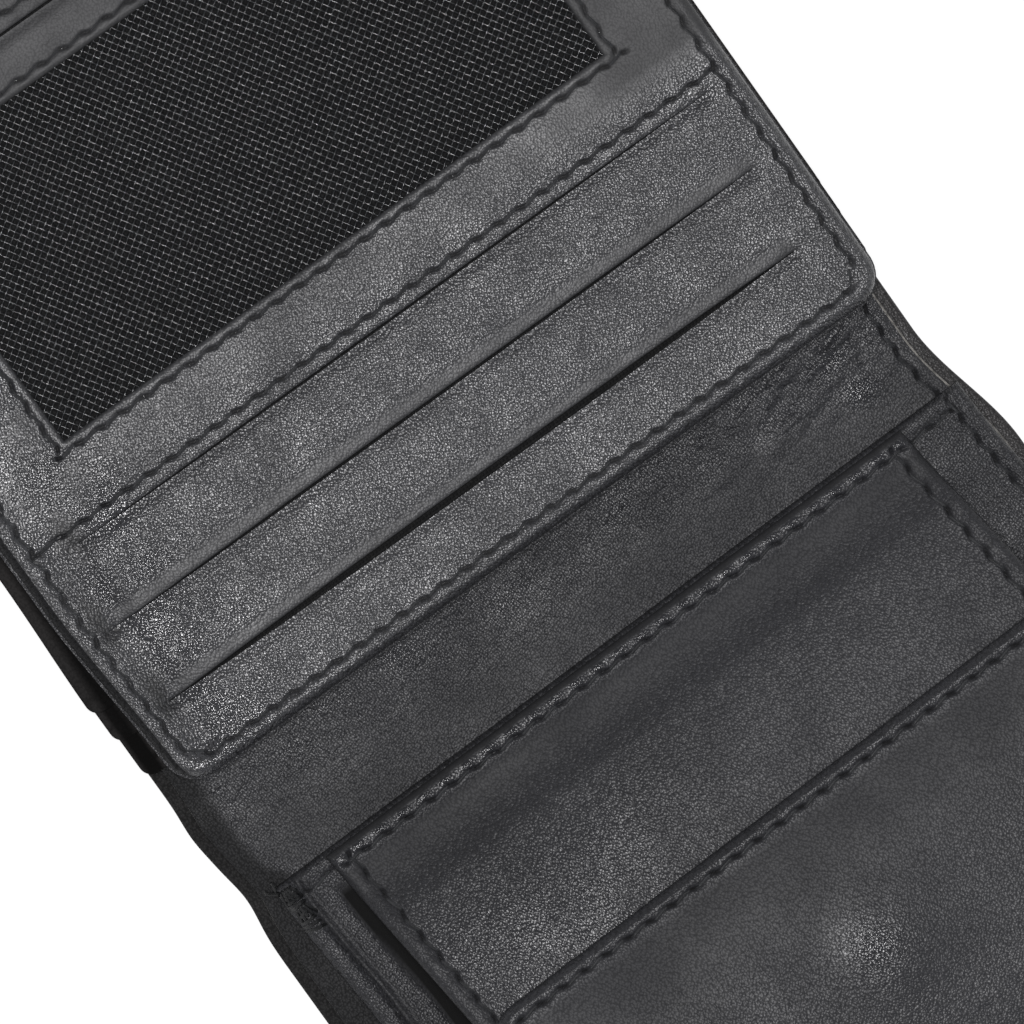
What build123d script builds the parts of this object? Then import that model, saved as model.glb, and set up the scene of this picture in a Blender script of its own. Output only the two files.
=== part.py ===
"""A trifold wallet that lies open and flat, with its card flap folded down over the card half.

+X runs along the card slots, +Y from the spine towards the card flap's hinge, and +Z up from
the face that the wallet lies on. The origin is under the middle of the spine.
"""
from build123d import *
import math
import os

# ---------------------------------------------------------------- driving sizes, in millimetres
wallet_width = 104.0            # outer cover, across
wallet_length = 193.0           # outer cover, open and flat
cover_corner = 4.0              # radius of the cover's four corners
fold_width = 13.6               # spine, from one fold line to the other
fold_gap = 0.3                  # between the leather on the two sides of a fold line
layer_gap = 0.3                 # between two layers that can be lifted apart

cover_thickness = 1.2
cover_edge_round = 0.4          # at the cover's outside edges
lining_thickness = 0.4
note_space = 1.0                # height of the note compartment
note_seam = 2.0                 # width of the seam that closes the note compartment
note_mouth_setback = 1.5        # inner panel behind the cover's edge, at the compartment's mouth
panel_thickness = 0.8           # inner panels that close the note compartment from above

pocket_thickness = 0.5
pocket_margin = 1.5             # card pockets inside the cover's side edges
pocket_mouths = (3.5, 8.7, 12.9)    # back, middle and front mouth, beyond the flap's free edge
hinge_strip_width = 5.0

flap_free_edge = 7.2            # from the middle of the spine to the card flap's free edge
flap_width = 99.5
flap_corner = 4.0
flap_back_margin = 0.3          # the flap's back shows this much outside its front
flap_back_thickness = 0.7
flap_rim_width = 3.0            # turned edge round the flap
flap_leather = 1.0
flap_hinge_setback = 0.2        # the flap's hinged end, inside the cover's end
slot_lining_thickness = 0.2
slot_lining_margin = 0.3        # linings inside the turned edge
mesh_thickness = 0.3
mesh_overlap = 3.0              # mesh hidden under the window's border

slot_height = 0.8               # width of a slot's mouth
slots = (                       # from the free edge, then the margins left and right of the mouth
    ("lower", 9.6, 4.3, 6.9),
    ("middle", 20.1, 3.8, 5.3),
    ("upper", 30.3, 6.4, 4.8),
)
slot_lining_lead = 1.0          # lining on the free edge's side of its slot
slot_lining_seam = 0.8          # between the longest lining and the turned edge at the hinge
slot_panel_length = 32.1        # slot panel, from the free edge to the window frame
window_border = 11.8            # leather on each side of the window
window_rise = 40.8              # from the free edge to the window
window_end_margin = 13.3        # from the window to the flap's hinged end
id_slot_margin = 6.8            # from the identity pocket's mouth to the hinged end
id_slot_border = 7.75           # leather at each end of that mouth

base_width = 97.0               # panel that carries the coin pouch
base_length_margin = 0.6        # base inside the cover's end
base_thickness = 2.0
base_edge = 7.2                 # from the middle of the spine to the base's turned edge
front_width = 81.0              # front of the coin pouch
front_setback = 0.4             # front behind the base's turned edge
front_strip = 4.5               # flat strip where the front is sewn to the base
front_thickness = 1.0
front_corner = 3.0
mouth_distance = 67.3           # pouch mouth, from the base's turned edge
pouch_depth = 10.5              # inside height at the mouth
pouch_stations = (0.0, 0.1, 0.25, 0.5, 0.85, 1.0)   # shares of the way to the mouth
gusset_inset = 1.0              # gusset inside the front's side edge
gusset_leather = 0.8
gusset_fold_share = 0.35        # depth of the gusset's fold, as a share of its height
gusset_lead = 1.0               # gusset starts this far behind the sewn strip

coin_flap_width = 82.0
coin_flap_edge = 26.4           # coin flap's free edge, from the base's turned edge
coin_flap_corner = 4.0
coin_flap_leather = 0.9
coin_flap_lining = 0.5
# Gap over the front: at the free edge, on the two sides of the snap, and at the mouth.
coin_flap_lift = (0.4, 1.2, 1.2, 0.6)
coin_hinge_distance = 83.0      # coin flap's hinge line, from the base's turned edge
coin_root_thickness = 1.2       # sewn root of the coin flap
coin_root_margin = 0.5          # root inside the base's far edge

snap_distance = 45.3            # snap, from the base's turned edge
snap_offset = 3.7               # snap, right of the middle, where the soft pouch leans over
snap_flange_radius = 5.0
snap_flange_thickness = 0.4
stud_neck_radius = 1.5
stud_head_radius = 1.9
stud_height = 1.15              # above the stud's flange
stud_shoulder = 0.25            # straight neck under the stud's head
socket_flange_thickness = 0.5
socket_bore_radius = 2.3
socket_collar_radius = 2.9
collar_clearance = 0.1
rivet_radius = 1.1              # shank that joins the stud to its back
rivet_clearance = 0.1
rivet_reach = 0.3               # shank beyond the front's leather, into the stud
rivet_head_radius = 4.5
rivet_head_thickness = 0.6
cap_radius = 6.0
cap_thickness = 0.6
cap_clearance = 0.1
cap_dimple_radius = 1.6
cap_dimple_depth = 0.2
bump_radius = 9.0               # soft bump in the leather over the snap's cap
bump_height = 0.5
bump_shoulder_share = 0.7       # height of the bump half way out, as a share of its height
bump_skirt = 0.3                # depth to which the bump's rim is sunk into the leather

os.makedirs("parts", exist_ok=True)

# ---------------------------------------------------------------- levels and places worked out from them
half_width = wallet_width / 2
half_length = wallet_length / 2
half_start = fold_width / 2 + fold_gap / 2
spine_half = fold_width / 2 - fold_gap / 2

lining_level = cover_thickness
note_level = lining_level + lining_thickness
panel_level = note_level + note_space
pocket_level = panel_level + panel_thickness

flap_level = pocket_level + len(pocket_mouths) * pocket_thickness + layer_gap
slot_level = flap_level + flap_back_thickness
id_level = slot_level + len(slots) * slot_lining_thickness
mesh_level = id_level + slot_lining_thickness
front_level = mesh_level + mesh_thickness
flap_end = half_length - flap_hinge_setback
flap_half = flap_width / 2
window_width = flap_width - 2 * window_border
id_slot_width = flap_width - 2 * id_slot_border

base_level = pocket_level
base_top = base_level + base_thickness
front_edge = -(base_edge + front_setback)
strip_end = -(base_edge + front_strip)
mouth = -(base_edge + mouth_distance)
coin_edge = -(base_edge + coin_flap_edge)
coin_hinge = -(base_edge + coin_hinge_distance)
snap_place = -(base_edge + snap_distance)
coin_flap_total = coin_flap_leather + coin_flap_lining
root_level = base_top + coin_root_thickness

# Underside of the pouch front: flat on the base along the strip, then rising in ever flatter runs.
front_stations = [(front_edge, base_top)]
for share in pouch_stations:
    rise = pouch_depth * (1 - (1 - share) ** 3)
    front_stations.append((strip_end + share * (mouth - strip_end), base_top + rise))

# Underside of the coin flap: over the front, past the mouth, and down to its hinge line.
snap_run_start, snap_run_end = front_stations[-3], front_stations[-2]
edge_share = (coin_edge - front_stations[-4][0]) / (snap_run_start[0] - front_stations[-4][0])
edge_height = front_stations[-4][1] + edge_share * (snap_run_start[1] - front_stations[-4][1])
flap_stations = [(coin_edge, edge_height)] + front_stations[-3:]
coin_flap_under = []
for (place, height), lift in zip(flap_stations, coin_flap_lift):
    coin_flap_under.append((place, height + front_thickness + lift))
coin_flap_under.append((coin_hinge + fold_gap, root_level + fold_gap))

# The snap stands square to the run of the front that it is set in.
snap_slope = math.atan2(snap_run_end[1] - snap_run_start[1], snap_run_start[0] - snap_run_end[0])
snap_share = (snap_place - snap_run_start[0]) / (snap_run_end[0] - snap_run_start[0])
snap_under = snap_run_start[1] + snap_share * (snap_run_end[1] - snap_run_start[1])
snap_up = (0, math.sin(snap_slope), math.cos(snap_slope))
snap_slope_cosine = math.cos(snap_slope)
front_top_plane = Plane((snap_offset, snap_place, snap_under + front_thickness), (1, 0, 0), snap_up)
front_under_plane = Plane((snap_offset, snap_place, snap_under), (1, 0, 0), snap_up)
flap_under_height = snap_under + front_thickness + coin_flap_lift[1]
flap_under_plane = Plane((snap_offset, snap_place, flap_under_height), (1, 0, 0), snap_up)
flap_leather_plane = Plane(
    (snap_offset, snap_place, flap_under_height + coin_flap_lining), (1, 0, 0), snap_up)


def panel_outline(x_low, x_high, y_near, y_far, corner):
    """A rectangle whose two corners at y_far are rounded."""
    with BuildSketch() as outline:
        with Locations(((x_low + x_high) / 2, (y_near + y_far) / 2)):
            Rectangle(x_high - x_low, abs(y_far - y_near))
        if corner > 0:
            order = outline.vertices().group_by(Axis.Y)
            fillet(order[-1] if y_far > y_near else order[0], corner)
    return outline.sketch


def run_profile(stations, low, high):
    """The section of a sheet that follows the stations, from low to high above them."""
    under = [(place, height + low) for place, height in stations]
    over = [(place, height + high) for place, height in reversed(stations)]
    with BuildSketch() as section:
        with BuildLine():
            Polyline(*under, *over, close=True)
        make_face()
    return section.sketch


def turning_plane(seat):
    """The plane for a turned piece's section: radius along X, height above the seat along Y."""
    return Plane(seat.origin, seat.x_dir, seat.x_dir.cross(seat.z_dir))


def turning_axis(seat):
    """The axis of a turned piece, square to its seat."""
    return Axis(seat.origin, seat.z_dir)


def save(piece, name):
    """Names a finished piece and writes it."""
    piece.label = name
    export_step(piece, f"parts/{name}.step")


# ---------------------------------------------------------------- outer cover and its lining
for half, side in (("upper", 1), ("lower", -1)):
    cover_outline = panel_outline(
        -half_width, half_width, side * half_start, side * half_length, cover_corner)
    with BuildPart() as cover:
        with BuildSketch():
            add(cover_outline)
        extrude(amount=cover_thickness)
        fillet(cover.edges().group_by(Axis.Z)[0].filter_by(
            lambda edge: abs(edge.center().Y) > half_start + fold_gap), cover_edge_round)
    save(cover.part, f"cover_{half}")

    with BuildPart() as lining:
        with BuildSketch(Plane.XY.offset(lining_level)):
            add(cover_outline)
        extrude(amount=lining_thickness)
    save(lining.part, f"lining_{half}")

with BuildPart() as cover_spine:
    with BuildSketch():
        Rectangle(wallet_width, 2 * spine_half)
    extrude(amount=cover_thickness)
save(cover_spine.part, "cover_spine")

with BuildPart() as lining_spine:
    with BuildSketch(Plane.XY.offset(lining_level)):
        Rectangle(wallet_width, 2 * spine_half)
    extrude(amount=lining_thickness)
save(lining_spine.part, "lining_spine")

# ---------------------------------------------------------------- inner panels over the note compartment
# The compartment is sewn shut along the right side and both ends, and is open along the left.
inner_left = -half_width + note_mouth_setback
for name, side in (("middle_panel", 1), ("inner_lower", -1)):
    near, far = side * half_start, side * half_length
    with BuildPart() as inner_panel:
        with BuildSketch(Plane.XY.offset(panel_level)):
            add(panel_outline(inner_left, half_width, near, far, cover_corner))
        extrude(amount=panel_thickness)
        with BuildSketch(Plane.XY.offset(note_level)):
            add(panel_outline(inner_left, half_width, near, far, cover_corner))
            add(panel_outline(inner_left, half_width - note_seam, near, far - side * note_seam, 0),
                mode=Mode.SUBTRACT)
        extrude(amount=note_space)
    save(inner_panel.part, name)

with BuildPart() as inner_spine:
    with BuildSketch(Plane.XY.offset(panel_level)):
        add(panel_outline(inner_left, half_width, -spine_half, spine_half, 0))
    extrude(amount=panel_thickness)
    with BuildSketch(Plane.XY.offset(note_level)):
        add(panel_outline(half_width - note_seam, half_width, -spine_half, spine_half, 0))
    extrude(amount=note_space)
save(inner_spine.part, "inner_spine")

# ---------------------------------------------------------------- card pockets under the flap
pocket_half = half_width - pocket_margin
pocket_end = half_length - hinge_strip_width
for layer, (name, mouth_rise) in enumerate(zip(("back", "middle", "front"), pocket_mouths)):
    with BuildPart() as card_pocket:
        with BuildSketch(Plane.XY.offset(pocket_level + layer * pocket_thickness)):
            add(panel_outline(
                -pocket_half, pocket_half, flap_free_edge + mouth_rise, pocket_end, 0))
        extrude(amount=pocket_thickness)
    save(card_pocket.part, f"card_pocket_{name}")

with BuildPart() as flap_hinge_strip:
    with BuildSketch(Plane.XY.offset(pocket_level)):
        add(panel_outline(-flap_half, flap_half, pocket_end, half_length, 0))
    extrude(amount=len(pocket_mouths) * pocket_thickness)
save(flap_hinge_strip.part, "flap_hinge_strip")

# ---------------------------------------------------------------- card flap
with BuildPart() as flap_back:
    with BuildSketch(Plane.XY.offset(flap_level)):
        add(panel_outline(
            -flap_half - flap_back_margin, flap_half + flap_back_margin,
            flap_end, flap_free_edge - flap_back_margin, flap_corner + flap_back_margin))
    extrude(amount=flap_back_thickness)
save(flap_back.part, "flap_back")

lining_half = flap_half - flap_rim_width - slot_lining_margin
pocket_depth = flap_end - flap_rim_width - slot_lining_seam - flap_free_edge - slots[-1][1]
for layer, (name, slot_rise, _, _) in enumerate(slots):
    slot_place = flap_free_edge + slot_rise
    with BuildPart() as slot_lining:
        with BuildSketch(Plane.XY.offset(slot_level + layer * slot_lining_thickness)):
            add(panel_outline(
                -lining_half, lining_half,
                slot_place - slot_lining_lead, slot_place + pocket_depth, 0))
        extrude(amount=slot_lining_thickness)
    save(slot_lining.part, f"slot_lining_{name}")

window_start = flap_free_edge + window_rise
window_end = flap_end - window_end_margin
id_slot_place = flap_end - id_slot_margin
with BuildPart() as id_pocket_lining:
    with BuildSketch(Plane.XY.offset(id_level)):
        add(panel_outline(
            -lining_half, lining_half, window_start - mesh_overlap, id_slot_place + mesh_overlap, 0))
    extrude(amount=slot_lining_thickness)
save(id_pocket_lining.part, "id_pocket_lining")

with BuildPart() as mesh_window:
    with BuildSketch(Plane.XY.offset(mesh_level)):
        add(panel_outline(
            -window_width / 2 - mesh_overlap, window_width / 2 + mesh_overlap,
            window_start - mesh_overlap, window_end + mesh_overlap, 0))
    extrude(amount=mesh_thickness)
save(mesh_window.part, "mesh_window")

# The front leather is turned down to the back along the flap's edges.
rim_inner = flap_half - flap_rim_width
panel_seam = flap_free_edge + slot_panel_length
with BuildPart() as slot_panel:
    with BuildSketch(Plane.XY.offset(front_level)):
        add(panel_outline(-flap_half, flap_half, panel_seam, flap_free_edge, flap_corner))
        for _, slot_rise, left_margin, right_margin in slots:
            slot_left = -flap_half + left_margin
            slot_right = flap_half - right_margin
            with Locations(((slot_left + slot_right) / 2, flap_free_edge + slot_rise)):
                SlotOverall(slot_right - slot_left, slot_height, mode=Mode.SUBTRACT)
    extrude(amount=flap_leather)
    with BuildSketch(Plane.XY.offset(slot_level)):
        add(panel_outline(-flap_half, flap_half, panel_seam, flap_free_edge, flap_corner))
        add(panel_outline(
            -rim_inner, rim_inner, panel_seam, flap_free_edge + flap_rim_width, 0),
            mode=Mode.SUBTRACT)
    extrude(amount=front_level - slot_level)
save(slot_panel.part, "slot_panel")

with BuildPart() as window_frame:
    with BuildSketch(Plane.XY.offset(front_level)):
        add(panel_outline(-flap_half, flap_half, panel_seam, flap_end, 0))
        add(panel_outline(-window_width / 2, window_width / 2, window_start, window_end, 0),
            mode=Mode.SUBTRACT)
        with Locations((0, id_slot_place)):
            SlotOverall(id_slot_width, slot_height, mode=Mode.SUBTRACT)
    extrude(amount=flap_leather)
    with BuildSketch(Plane.XY.offset(slot_level)):
        add(panel_outline(-flap_half, flap_half, panel_seam, flap_end, 0))
        add(panel_outline(-rim_inner, rim_inner, panel_seam, flap_end - flap_rim_width, 0),
            mode=Mode.SUBTRACT)
    extrude(amount=front_level - slot_level)
save(window_frame.part, "window_frame")

# ---------------------------------------------------------------- coin pouch
with BuildPart() as coin_base:
    with BuildSketch(Plane.XY.offset(base_level)):
        add(panel_outline(
            -base_width / 2, base_width / 2, -base_edge,
            -half_length + base_length_margin, cover_corner))
    extrude(amount=base_thickness)
save(coin_base.part, "coin_base")

with BuildPart() as coin_front:
    with BuildSketch(Plane.YZ):
        add(run_profile(front_stations, 0, front_thickness))
    extrude(amount=front_width / 2, both=True)
    with BuildSketch(Plane.XY.offset(base_level)):
        add(panel_outline(-front_width / 2, front_width / 2, front_edge, mouth, front_corner))
    extrude(amount=2 * pouch_depth + front_thickness + base_thickness, mode=Mode.INTERSECT)
    with BuildSketch(front_top_plane):
        Circle(rivet_radius + rivet_clearance)
    extrude(amount=2 * front_thickness, both=True, mode=Mode.SUBTRACT)
save(coin_front.part, "coin_front")

# Each gusset is one leather strip, folded inwards along its length, that opens with the pouch.
gusset_stations = [(strip_end - gusset_lead, None)] + front_stations[2:]
first, second = front_stations[1], front_stations[2]
lead_share = (gusset_stations[0][0] - first[0]) / (second[0] - first[0])
gusset_stations[0] = (gusset_stations[0][0], first[1] + lead_share * (second[1] - first[1]))
for name, side in (("left", -1), ("right", 1)):
    outer = front_width / 2 - gusset_inset
    with BuildPart() as gusset:
        for place, height in gusset_stations:
            middle = (base_top + height) / 2
            fold = outer - gusset_fold_share * (height - base_top)
            chain = [(outer, base_top), (fold, middle), (outer, height)]
            back = [(x - gusset_leather, z) for x, z in reversed(chain)]
            with BuildSketch(Plane((0, place, 0), (1, 0, 0), (0, -1, 0))):
                with BuildLine():
                    Polyline(*[(side * x, z) for x, z in chain + back], close=True)
                make_face()
        loft(ruled=True)
    save(gusset.part, f"gusset_{name}")

# ---------------------------------------------------------------- coin flap
coin_half_width = coin_flap_width / 2
root_end = -half_length + base_length_margin + coin_root_margin
with BuildPart() as coin_flap_root:
    with BuildSketch(Plane.XY.offset(base_top)):
        add(panel_outline(
            -coin_half_width, coin_half_width, coin_hinge - fold_gap, root_end, 0))
    extrude(amount=coin_root_thickness)
save(coin_flap_root.part, "coin_flap_root")

flap_outline = panel_outline(
    -coin_half_width, coin_half_width, coin_hinge, coin_edge, coin_flap_corner)
flap_block_height = 2 * (pouch_depth + front_thickness + coin_flap_total)
with BuildPart() as coin_flap_lining_piece:
    with BuildSketch(Plane.YZ):
        add(run_profile(coin_flap_under, 0, coin_flap_lining))
    extrude(amount=coin_half_width, both=True)
    with BuildSketch(Plane.XY.offset(base_top)):
        add(flap_outline)
    extrude(amount=flap_block_height, mode=Mode.INTERSECT)
    with BuildSketch(flap_under_plane):
        Circle(socket_collar_radius + collar_clearance)
    extrude(amount=2 * coin_flap_lining, both=True, mode=Mode.SUBTRACT)
save(coin_flap_lining_piece.part, "coin_flap_lining")

leather_over_cap = coin_flap_leather * snap_slope_cosine
with BuildPart() as coin_flap_outer:
    with BuildSketch(Plane.YZ):
        add(run_profile(coin_flap_under, coin_flap_lining, coin_flap_total))
    extrude(amount=coin_half_width, both=True)
    with BuildSketch(Plane.XY.offset(base_top)):
        add(flap_outline)
    extrude(amount=flap_block_height, mode=Mode.INTERSECT)
    with BuildSketch(turning_plane(flap_leather_plane)):
        with BuildLine():
            Line((0, 0), (0, leather_over_cap + bump_height))
            ThreePointArc(
                (0, leather_over_cap + bump_height),
                (bump_radius / 2, leather_over_cap + bump_shoulder_share * bump_height),
                (bump_radius, leather_over_cap - bump_skirt))
            Line((bump_radius, leather_over_cap - bump_skirt), (0, 0))
        make_face()
    revolve(axis=turning_axis(flap_leather_plane))
    with BuildSketch(flap_leather_plane):
        Circle(cap_radius + cap_clearance)
    extrude(amount=cap_thickness, mode=Mode.SUBTRACT)
save(coin_flap_outer.part, "coin_flap_outer")

# ---------------------------------------------------------------- snap fastener
rivet_face_radius = rivet_head_radius - rivet_head_thickness / 2
shank_top = front_thickness * snap_slope_cosine + rivet_reach
with BuildPart() as snap_post:
    with BuildSketch(turning_plane(front_under_plane)):
        with BuildLine():
            Line((0, -rivet_head_thickness), (rivet_face_radius, -rivet_head_thickness))
            ThreePointArc(
                (rivet_face_radius, -rivet_head_thickness),
                (rivet_head_radius, -rivet_head_thickness / 2),
                (rivet_face_radius, 0))
            Polyline(
                (rivet_face_radius, 0), (rivet_radius, 0), (rivet_radius, shank_top),
                (0, shank_top), (0, -rivet_head_thickness))
        make_face()
    revolve(axis=turning_axis(front_under_plane))
save(snap_post.part, "snap_post")

head_middle = snap_flange_thickness + stud_shoulder + (stud_height - stud_shoulder) / 2
head_top = snap_flange_thickness + stud_height
with BuildPart() as snap_stud:
    with BuildSketch(turning_plane(front_top_plane)):
        with BuildLine():
            Polyline(
                (0, 0), (snap_flange_radius, 0), (snap_flange_radius, snap_flange_thickness),
                (stud_neck_radius, snap_flange_thickness),
                (stud_neck_radius, snap_flange_thickness + stud_shoulder))
            ThreePointArc(
                (stud_neck_radius, snap_flange_thickness + stud_shoulder),
                (stud_head_radius, head_middle),
                (stud_neck_radius, head_top))
            Polyline((stud_neck_radius, head_top), (0, head_top), (0, 0))
        make_face()
    revolve(axis=turning_axis(front_top_plane))
    with BuildSketch(front_top_plane):
        Circle(rivet_radius + rivet_clearance)
    extrude(amount=rivet_reach + rivet_clearance, mode=Mode.SUBTRACT)
save(snap_stud.part, "snap_stud")

with BuildPart() as snap_socket:
    with BuildSketch(flap_under_plane):
        Circle(snap_flange_radius)
        Circle(socket_bore_radius, mode=Mode.SUBTRACT)
    extrude(amount=-socket_flange_thickness)
    with BuildSketch(flap_under_plane):
        Circle(socket_collar_radius)
        Circle(socket_bore_radius, mode=Mode.SUBTRACT)
    extrude(amount=coin_flap_lining * snap_slope_cosine)
save(snap_socket.part, "snap_socket")

with BuildPart() as snap_cap:
    with BuildSketch(flap_leather_plane):
        Circle(cap_radius)
    extrude(amount=cap_thickness)
    with BuildSketch(flap_leather_plane.offset(cap_thickness)):
        Circle(cap_dimple_radius)
    extrude(amount=-cap_dimple_depth, mode=Mode.SUBTRACT)
save(snap_cap.part, "snap_cap")
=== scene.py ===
"""A trifold wallet in black leather: its leather, cloth, mesh and thread, built around its frame."""

import math

import bmesh
import bpy
from bpy.props import FloatProperty, FloatVectorProperty, PointerProperty
from mathutils import Matrix, Vector, noise


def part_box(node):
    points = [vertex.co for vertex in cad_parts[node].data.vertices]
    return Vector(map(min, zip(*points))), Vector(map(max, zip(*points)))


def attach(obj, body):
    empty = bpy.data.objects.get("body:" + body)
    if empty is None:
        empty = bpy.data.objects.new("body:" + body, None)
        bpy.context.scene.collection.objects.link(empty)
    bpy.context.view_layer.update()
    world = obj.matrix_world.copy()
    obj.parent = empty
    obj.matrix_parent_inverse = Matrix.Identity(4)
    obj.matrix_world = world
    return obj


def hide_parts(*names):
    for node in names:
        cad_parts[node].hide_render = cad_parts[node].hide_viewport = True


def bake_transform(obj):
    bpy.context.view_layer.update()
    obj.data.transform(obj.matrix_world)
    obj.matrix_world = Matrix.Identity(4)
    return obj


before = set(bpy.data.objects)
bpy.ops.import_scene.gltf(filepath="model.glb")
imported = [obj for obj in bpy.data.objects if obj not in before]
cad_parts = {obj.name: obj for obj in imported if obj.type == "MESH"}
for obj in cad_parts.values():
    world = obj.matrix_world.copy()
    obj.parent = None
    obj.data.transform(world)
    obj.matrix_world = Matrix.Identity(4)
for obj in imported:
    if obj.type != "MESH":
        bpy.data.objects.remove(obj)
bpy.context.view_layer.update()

bl_info = {
    "name": "Trifold wallet",
    "version": (1, 0, 0),
    "blender": (4, 5, 0),
    "location": "3D View > Sidebar > Wallet",
    "description": "Dresses the frame of a trifold wallet in leather, cloth, mesh and thread",
    "category": "Object",
}

MM = 0.001                  # one millimetre in metres; the pieces are shaped in millimetres


# ---------------------------------------------------------------- what a user would change
class WalletLeather(bpy.types.PropertyGroup):
    """Colour and grain of the leather."""
    colour: FloatVectorProperty(
        name="Leather", description="Colour of the black leather",
        subtype="COLOR", size=3, min=0, max=1, default=(0.020, 0.0203, 0.0226))
    cut_colour: FloatVectorProperty(
        name="Cut edge", description="Colour of the leather's raw cut edges",
        subtype="COLOR", size=3, min=0, max=1, default=(0.18, 0.173, 0.16))
    grain_width: FloatProperty(
        name="Grain width", description="Width of one pebble of the grain",
        unit="LENGTH", min=0.0001, default=0.00030)
    grain_length: FloatProperty(
        name="Grain length", description="Length of one pebble of the grain",
        unit="LENGTH", min=0.0001, default=0.00034)
    grain_height: FloatProperty(
        name="Grain height", description="Height of the grain's pebbles",
        unit="LENGTH", min=0, default=0.000075)
    flap_roughness: FloatProperty(
        name="Flap roughness", description="Roughness of the polished leather on the card flap",
        min=0, max=1, default=0.33)
    body_roughness: FloatProperty(
        name="Body roughness", description="Roughness of the duller leather elsewhere",
        min=0, max=1, default=0.44)
    softness: FloatProperty(
        name="Softness", description="Height of the leather's low, wide waves",
        unit="LENGTH", min=0, default=0.00010)


class WalletFlap(bpy.types.PropertyGroup):
    """The card flap: its rim, slots and window."""
    rim_round: FloatProperty(
        name="Rim radius", description="Radius of the flap's turned edge",
        unit="LENGTH", default=0.0011)
    rim_bead: FloatProperty(
        name="Rim bead", description="Height of the padded bead along the flap's edge",
        unit="LENGTH", default=0.00025)
    field_drop: FloatProperty(
        name="Field", description="Depth of the leather inside the turned edge",
        unit="LENGTH", default=0.00045)
    slot_rises: FloatVectorProperty(
        name="Slots", description="Distance of the three slots from the flap's free edge",
        subtype="XYZ", unit="LENGTH", default=(0.0096, 0.0201, 0.0303))
    slot_left: FloatVectorProperty(
        name="Left ends", description="Leather left of the three slots",
        subtype="XYZ", unit="LENGTH", default=(0.0043, 0.0038, 0.0064))
    slot_right: FloatVectorProperty(
        name="Right ends", description="Leather right of the three slots",
        subtype="XYZ", unit="LENGTH", default=(0.0069, 0.0053, 0.0048))
    slot_open: FloatVectorProperty(
        name="Openings", description="How far the three slots stand open",
        subtype="XYZ", unit="LENGTH", default=(0.00085, 0.00034, 0.0003))
    window_border: FloatProperty(
        name="Window border", description="Leather on each side of the window",
        unit="LENGTH", default=0.0118)
    window_rise: FloatProperty(
        name="Window", description="Distance from the flap's free edge to the window",
        unit="LENGTH", default=0.0408)
    window_end: FloatProperty(
        name="Window end", description="Distance from the window to the flap's hinged end",
        unit="LENGTH", default=0.0133)
    id_slot_end: FloatProperty(
        name="Identity slot", description="Distance of the identity pocket's slot from the hinged end",
        unit="LENGTH", default=0.0068)
    id_slot_border: FloatProperty(
        name="Identity border", description="Leather at each end of the identity pocket's slot",
        unit="LENGTH", default=0.00775)


class WalletStitching(bpy.types.PropertyGroup):
    """The thread and its rows."""
    colour: FloatVectorProperty(
        name="Thread", description="Colour of the thread",
        subtype="COLOR", size=3, min=0, max=1, default=(0.009, 0.0094, 0.0102))
    pitch: FloatProperty(
        name="Pitch", description="Length of one stitch, from hole to hole",
        unit="LENGTH", min=0.001, default=0.00305)
    thread: FloatProperty(
        name="Thickness", description="Diameter of the thread",
        unit="LENGTH", default=0.00033)
    slant: FloatProperty(
        name="Slant", description="Angle of each stitch to its row",
        subtype="ANGLE", default=math.radians(13))
    flap_inset: FloatProperty(
        name="Flap row", description="Row on the card flap, from its edge",
        unit="LENGTH", default=0.0022)


class WalletMesh(bpy.types.PropertyGroup):
    """The woven mesh in the window."""
    colour: FloatVectorProperty(
        name="Mesh", description="Colour of the mesh's strands",
        subtype="COLOR", size=3, min=0, max=1, default=(0.0056, 0.0059, 0.0067))
    pitch: FloatProperty(
        name="Pitch", description="Distance between the middles of two strands",
        unit="LENGTH", min=0.0004, default=0.00074)
    strand: FloatProperty(
        name="Strand", description="Diameter of one strand",
        unit="LENGTH", default=0.00025)
    turn: FloatProperty(
        name="Turn", description="Angle between the first strands and the flap's slots",
        subtype="ANGLE", default=math.radians(34.2))
    square: FloatProperty(
        name="Square", description="Angle between the two sets of strands",
        subtype="ANGLE", default=math.radians(87))


class WalletPouch(bpy.types.PropertyGroup):
    """The coin pouch and the way it leans."""
    lean: FloatProperty(
        name="Lean", description="How far the soft pouch leans to the right at its snap",
        unit="LENGTH", default=0.0037)
    base_lean: FloatProperty(
        name="Base lean", description="How far the panel under the pouch leans to the right",
        unit="LENGTH", default=0.0012)
    depth: FloatProperty(
        name="Depth", description="Inside height of the pouch at its mouth",
        unit="LENGTH", default=0.0105)
    bump: FloatProperty(
        name="Bump", description="Height of the leather over the snap",
        unit="LENGTH", default=0.0005)


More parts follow.
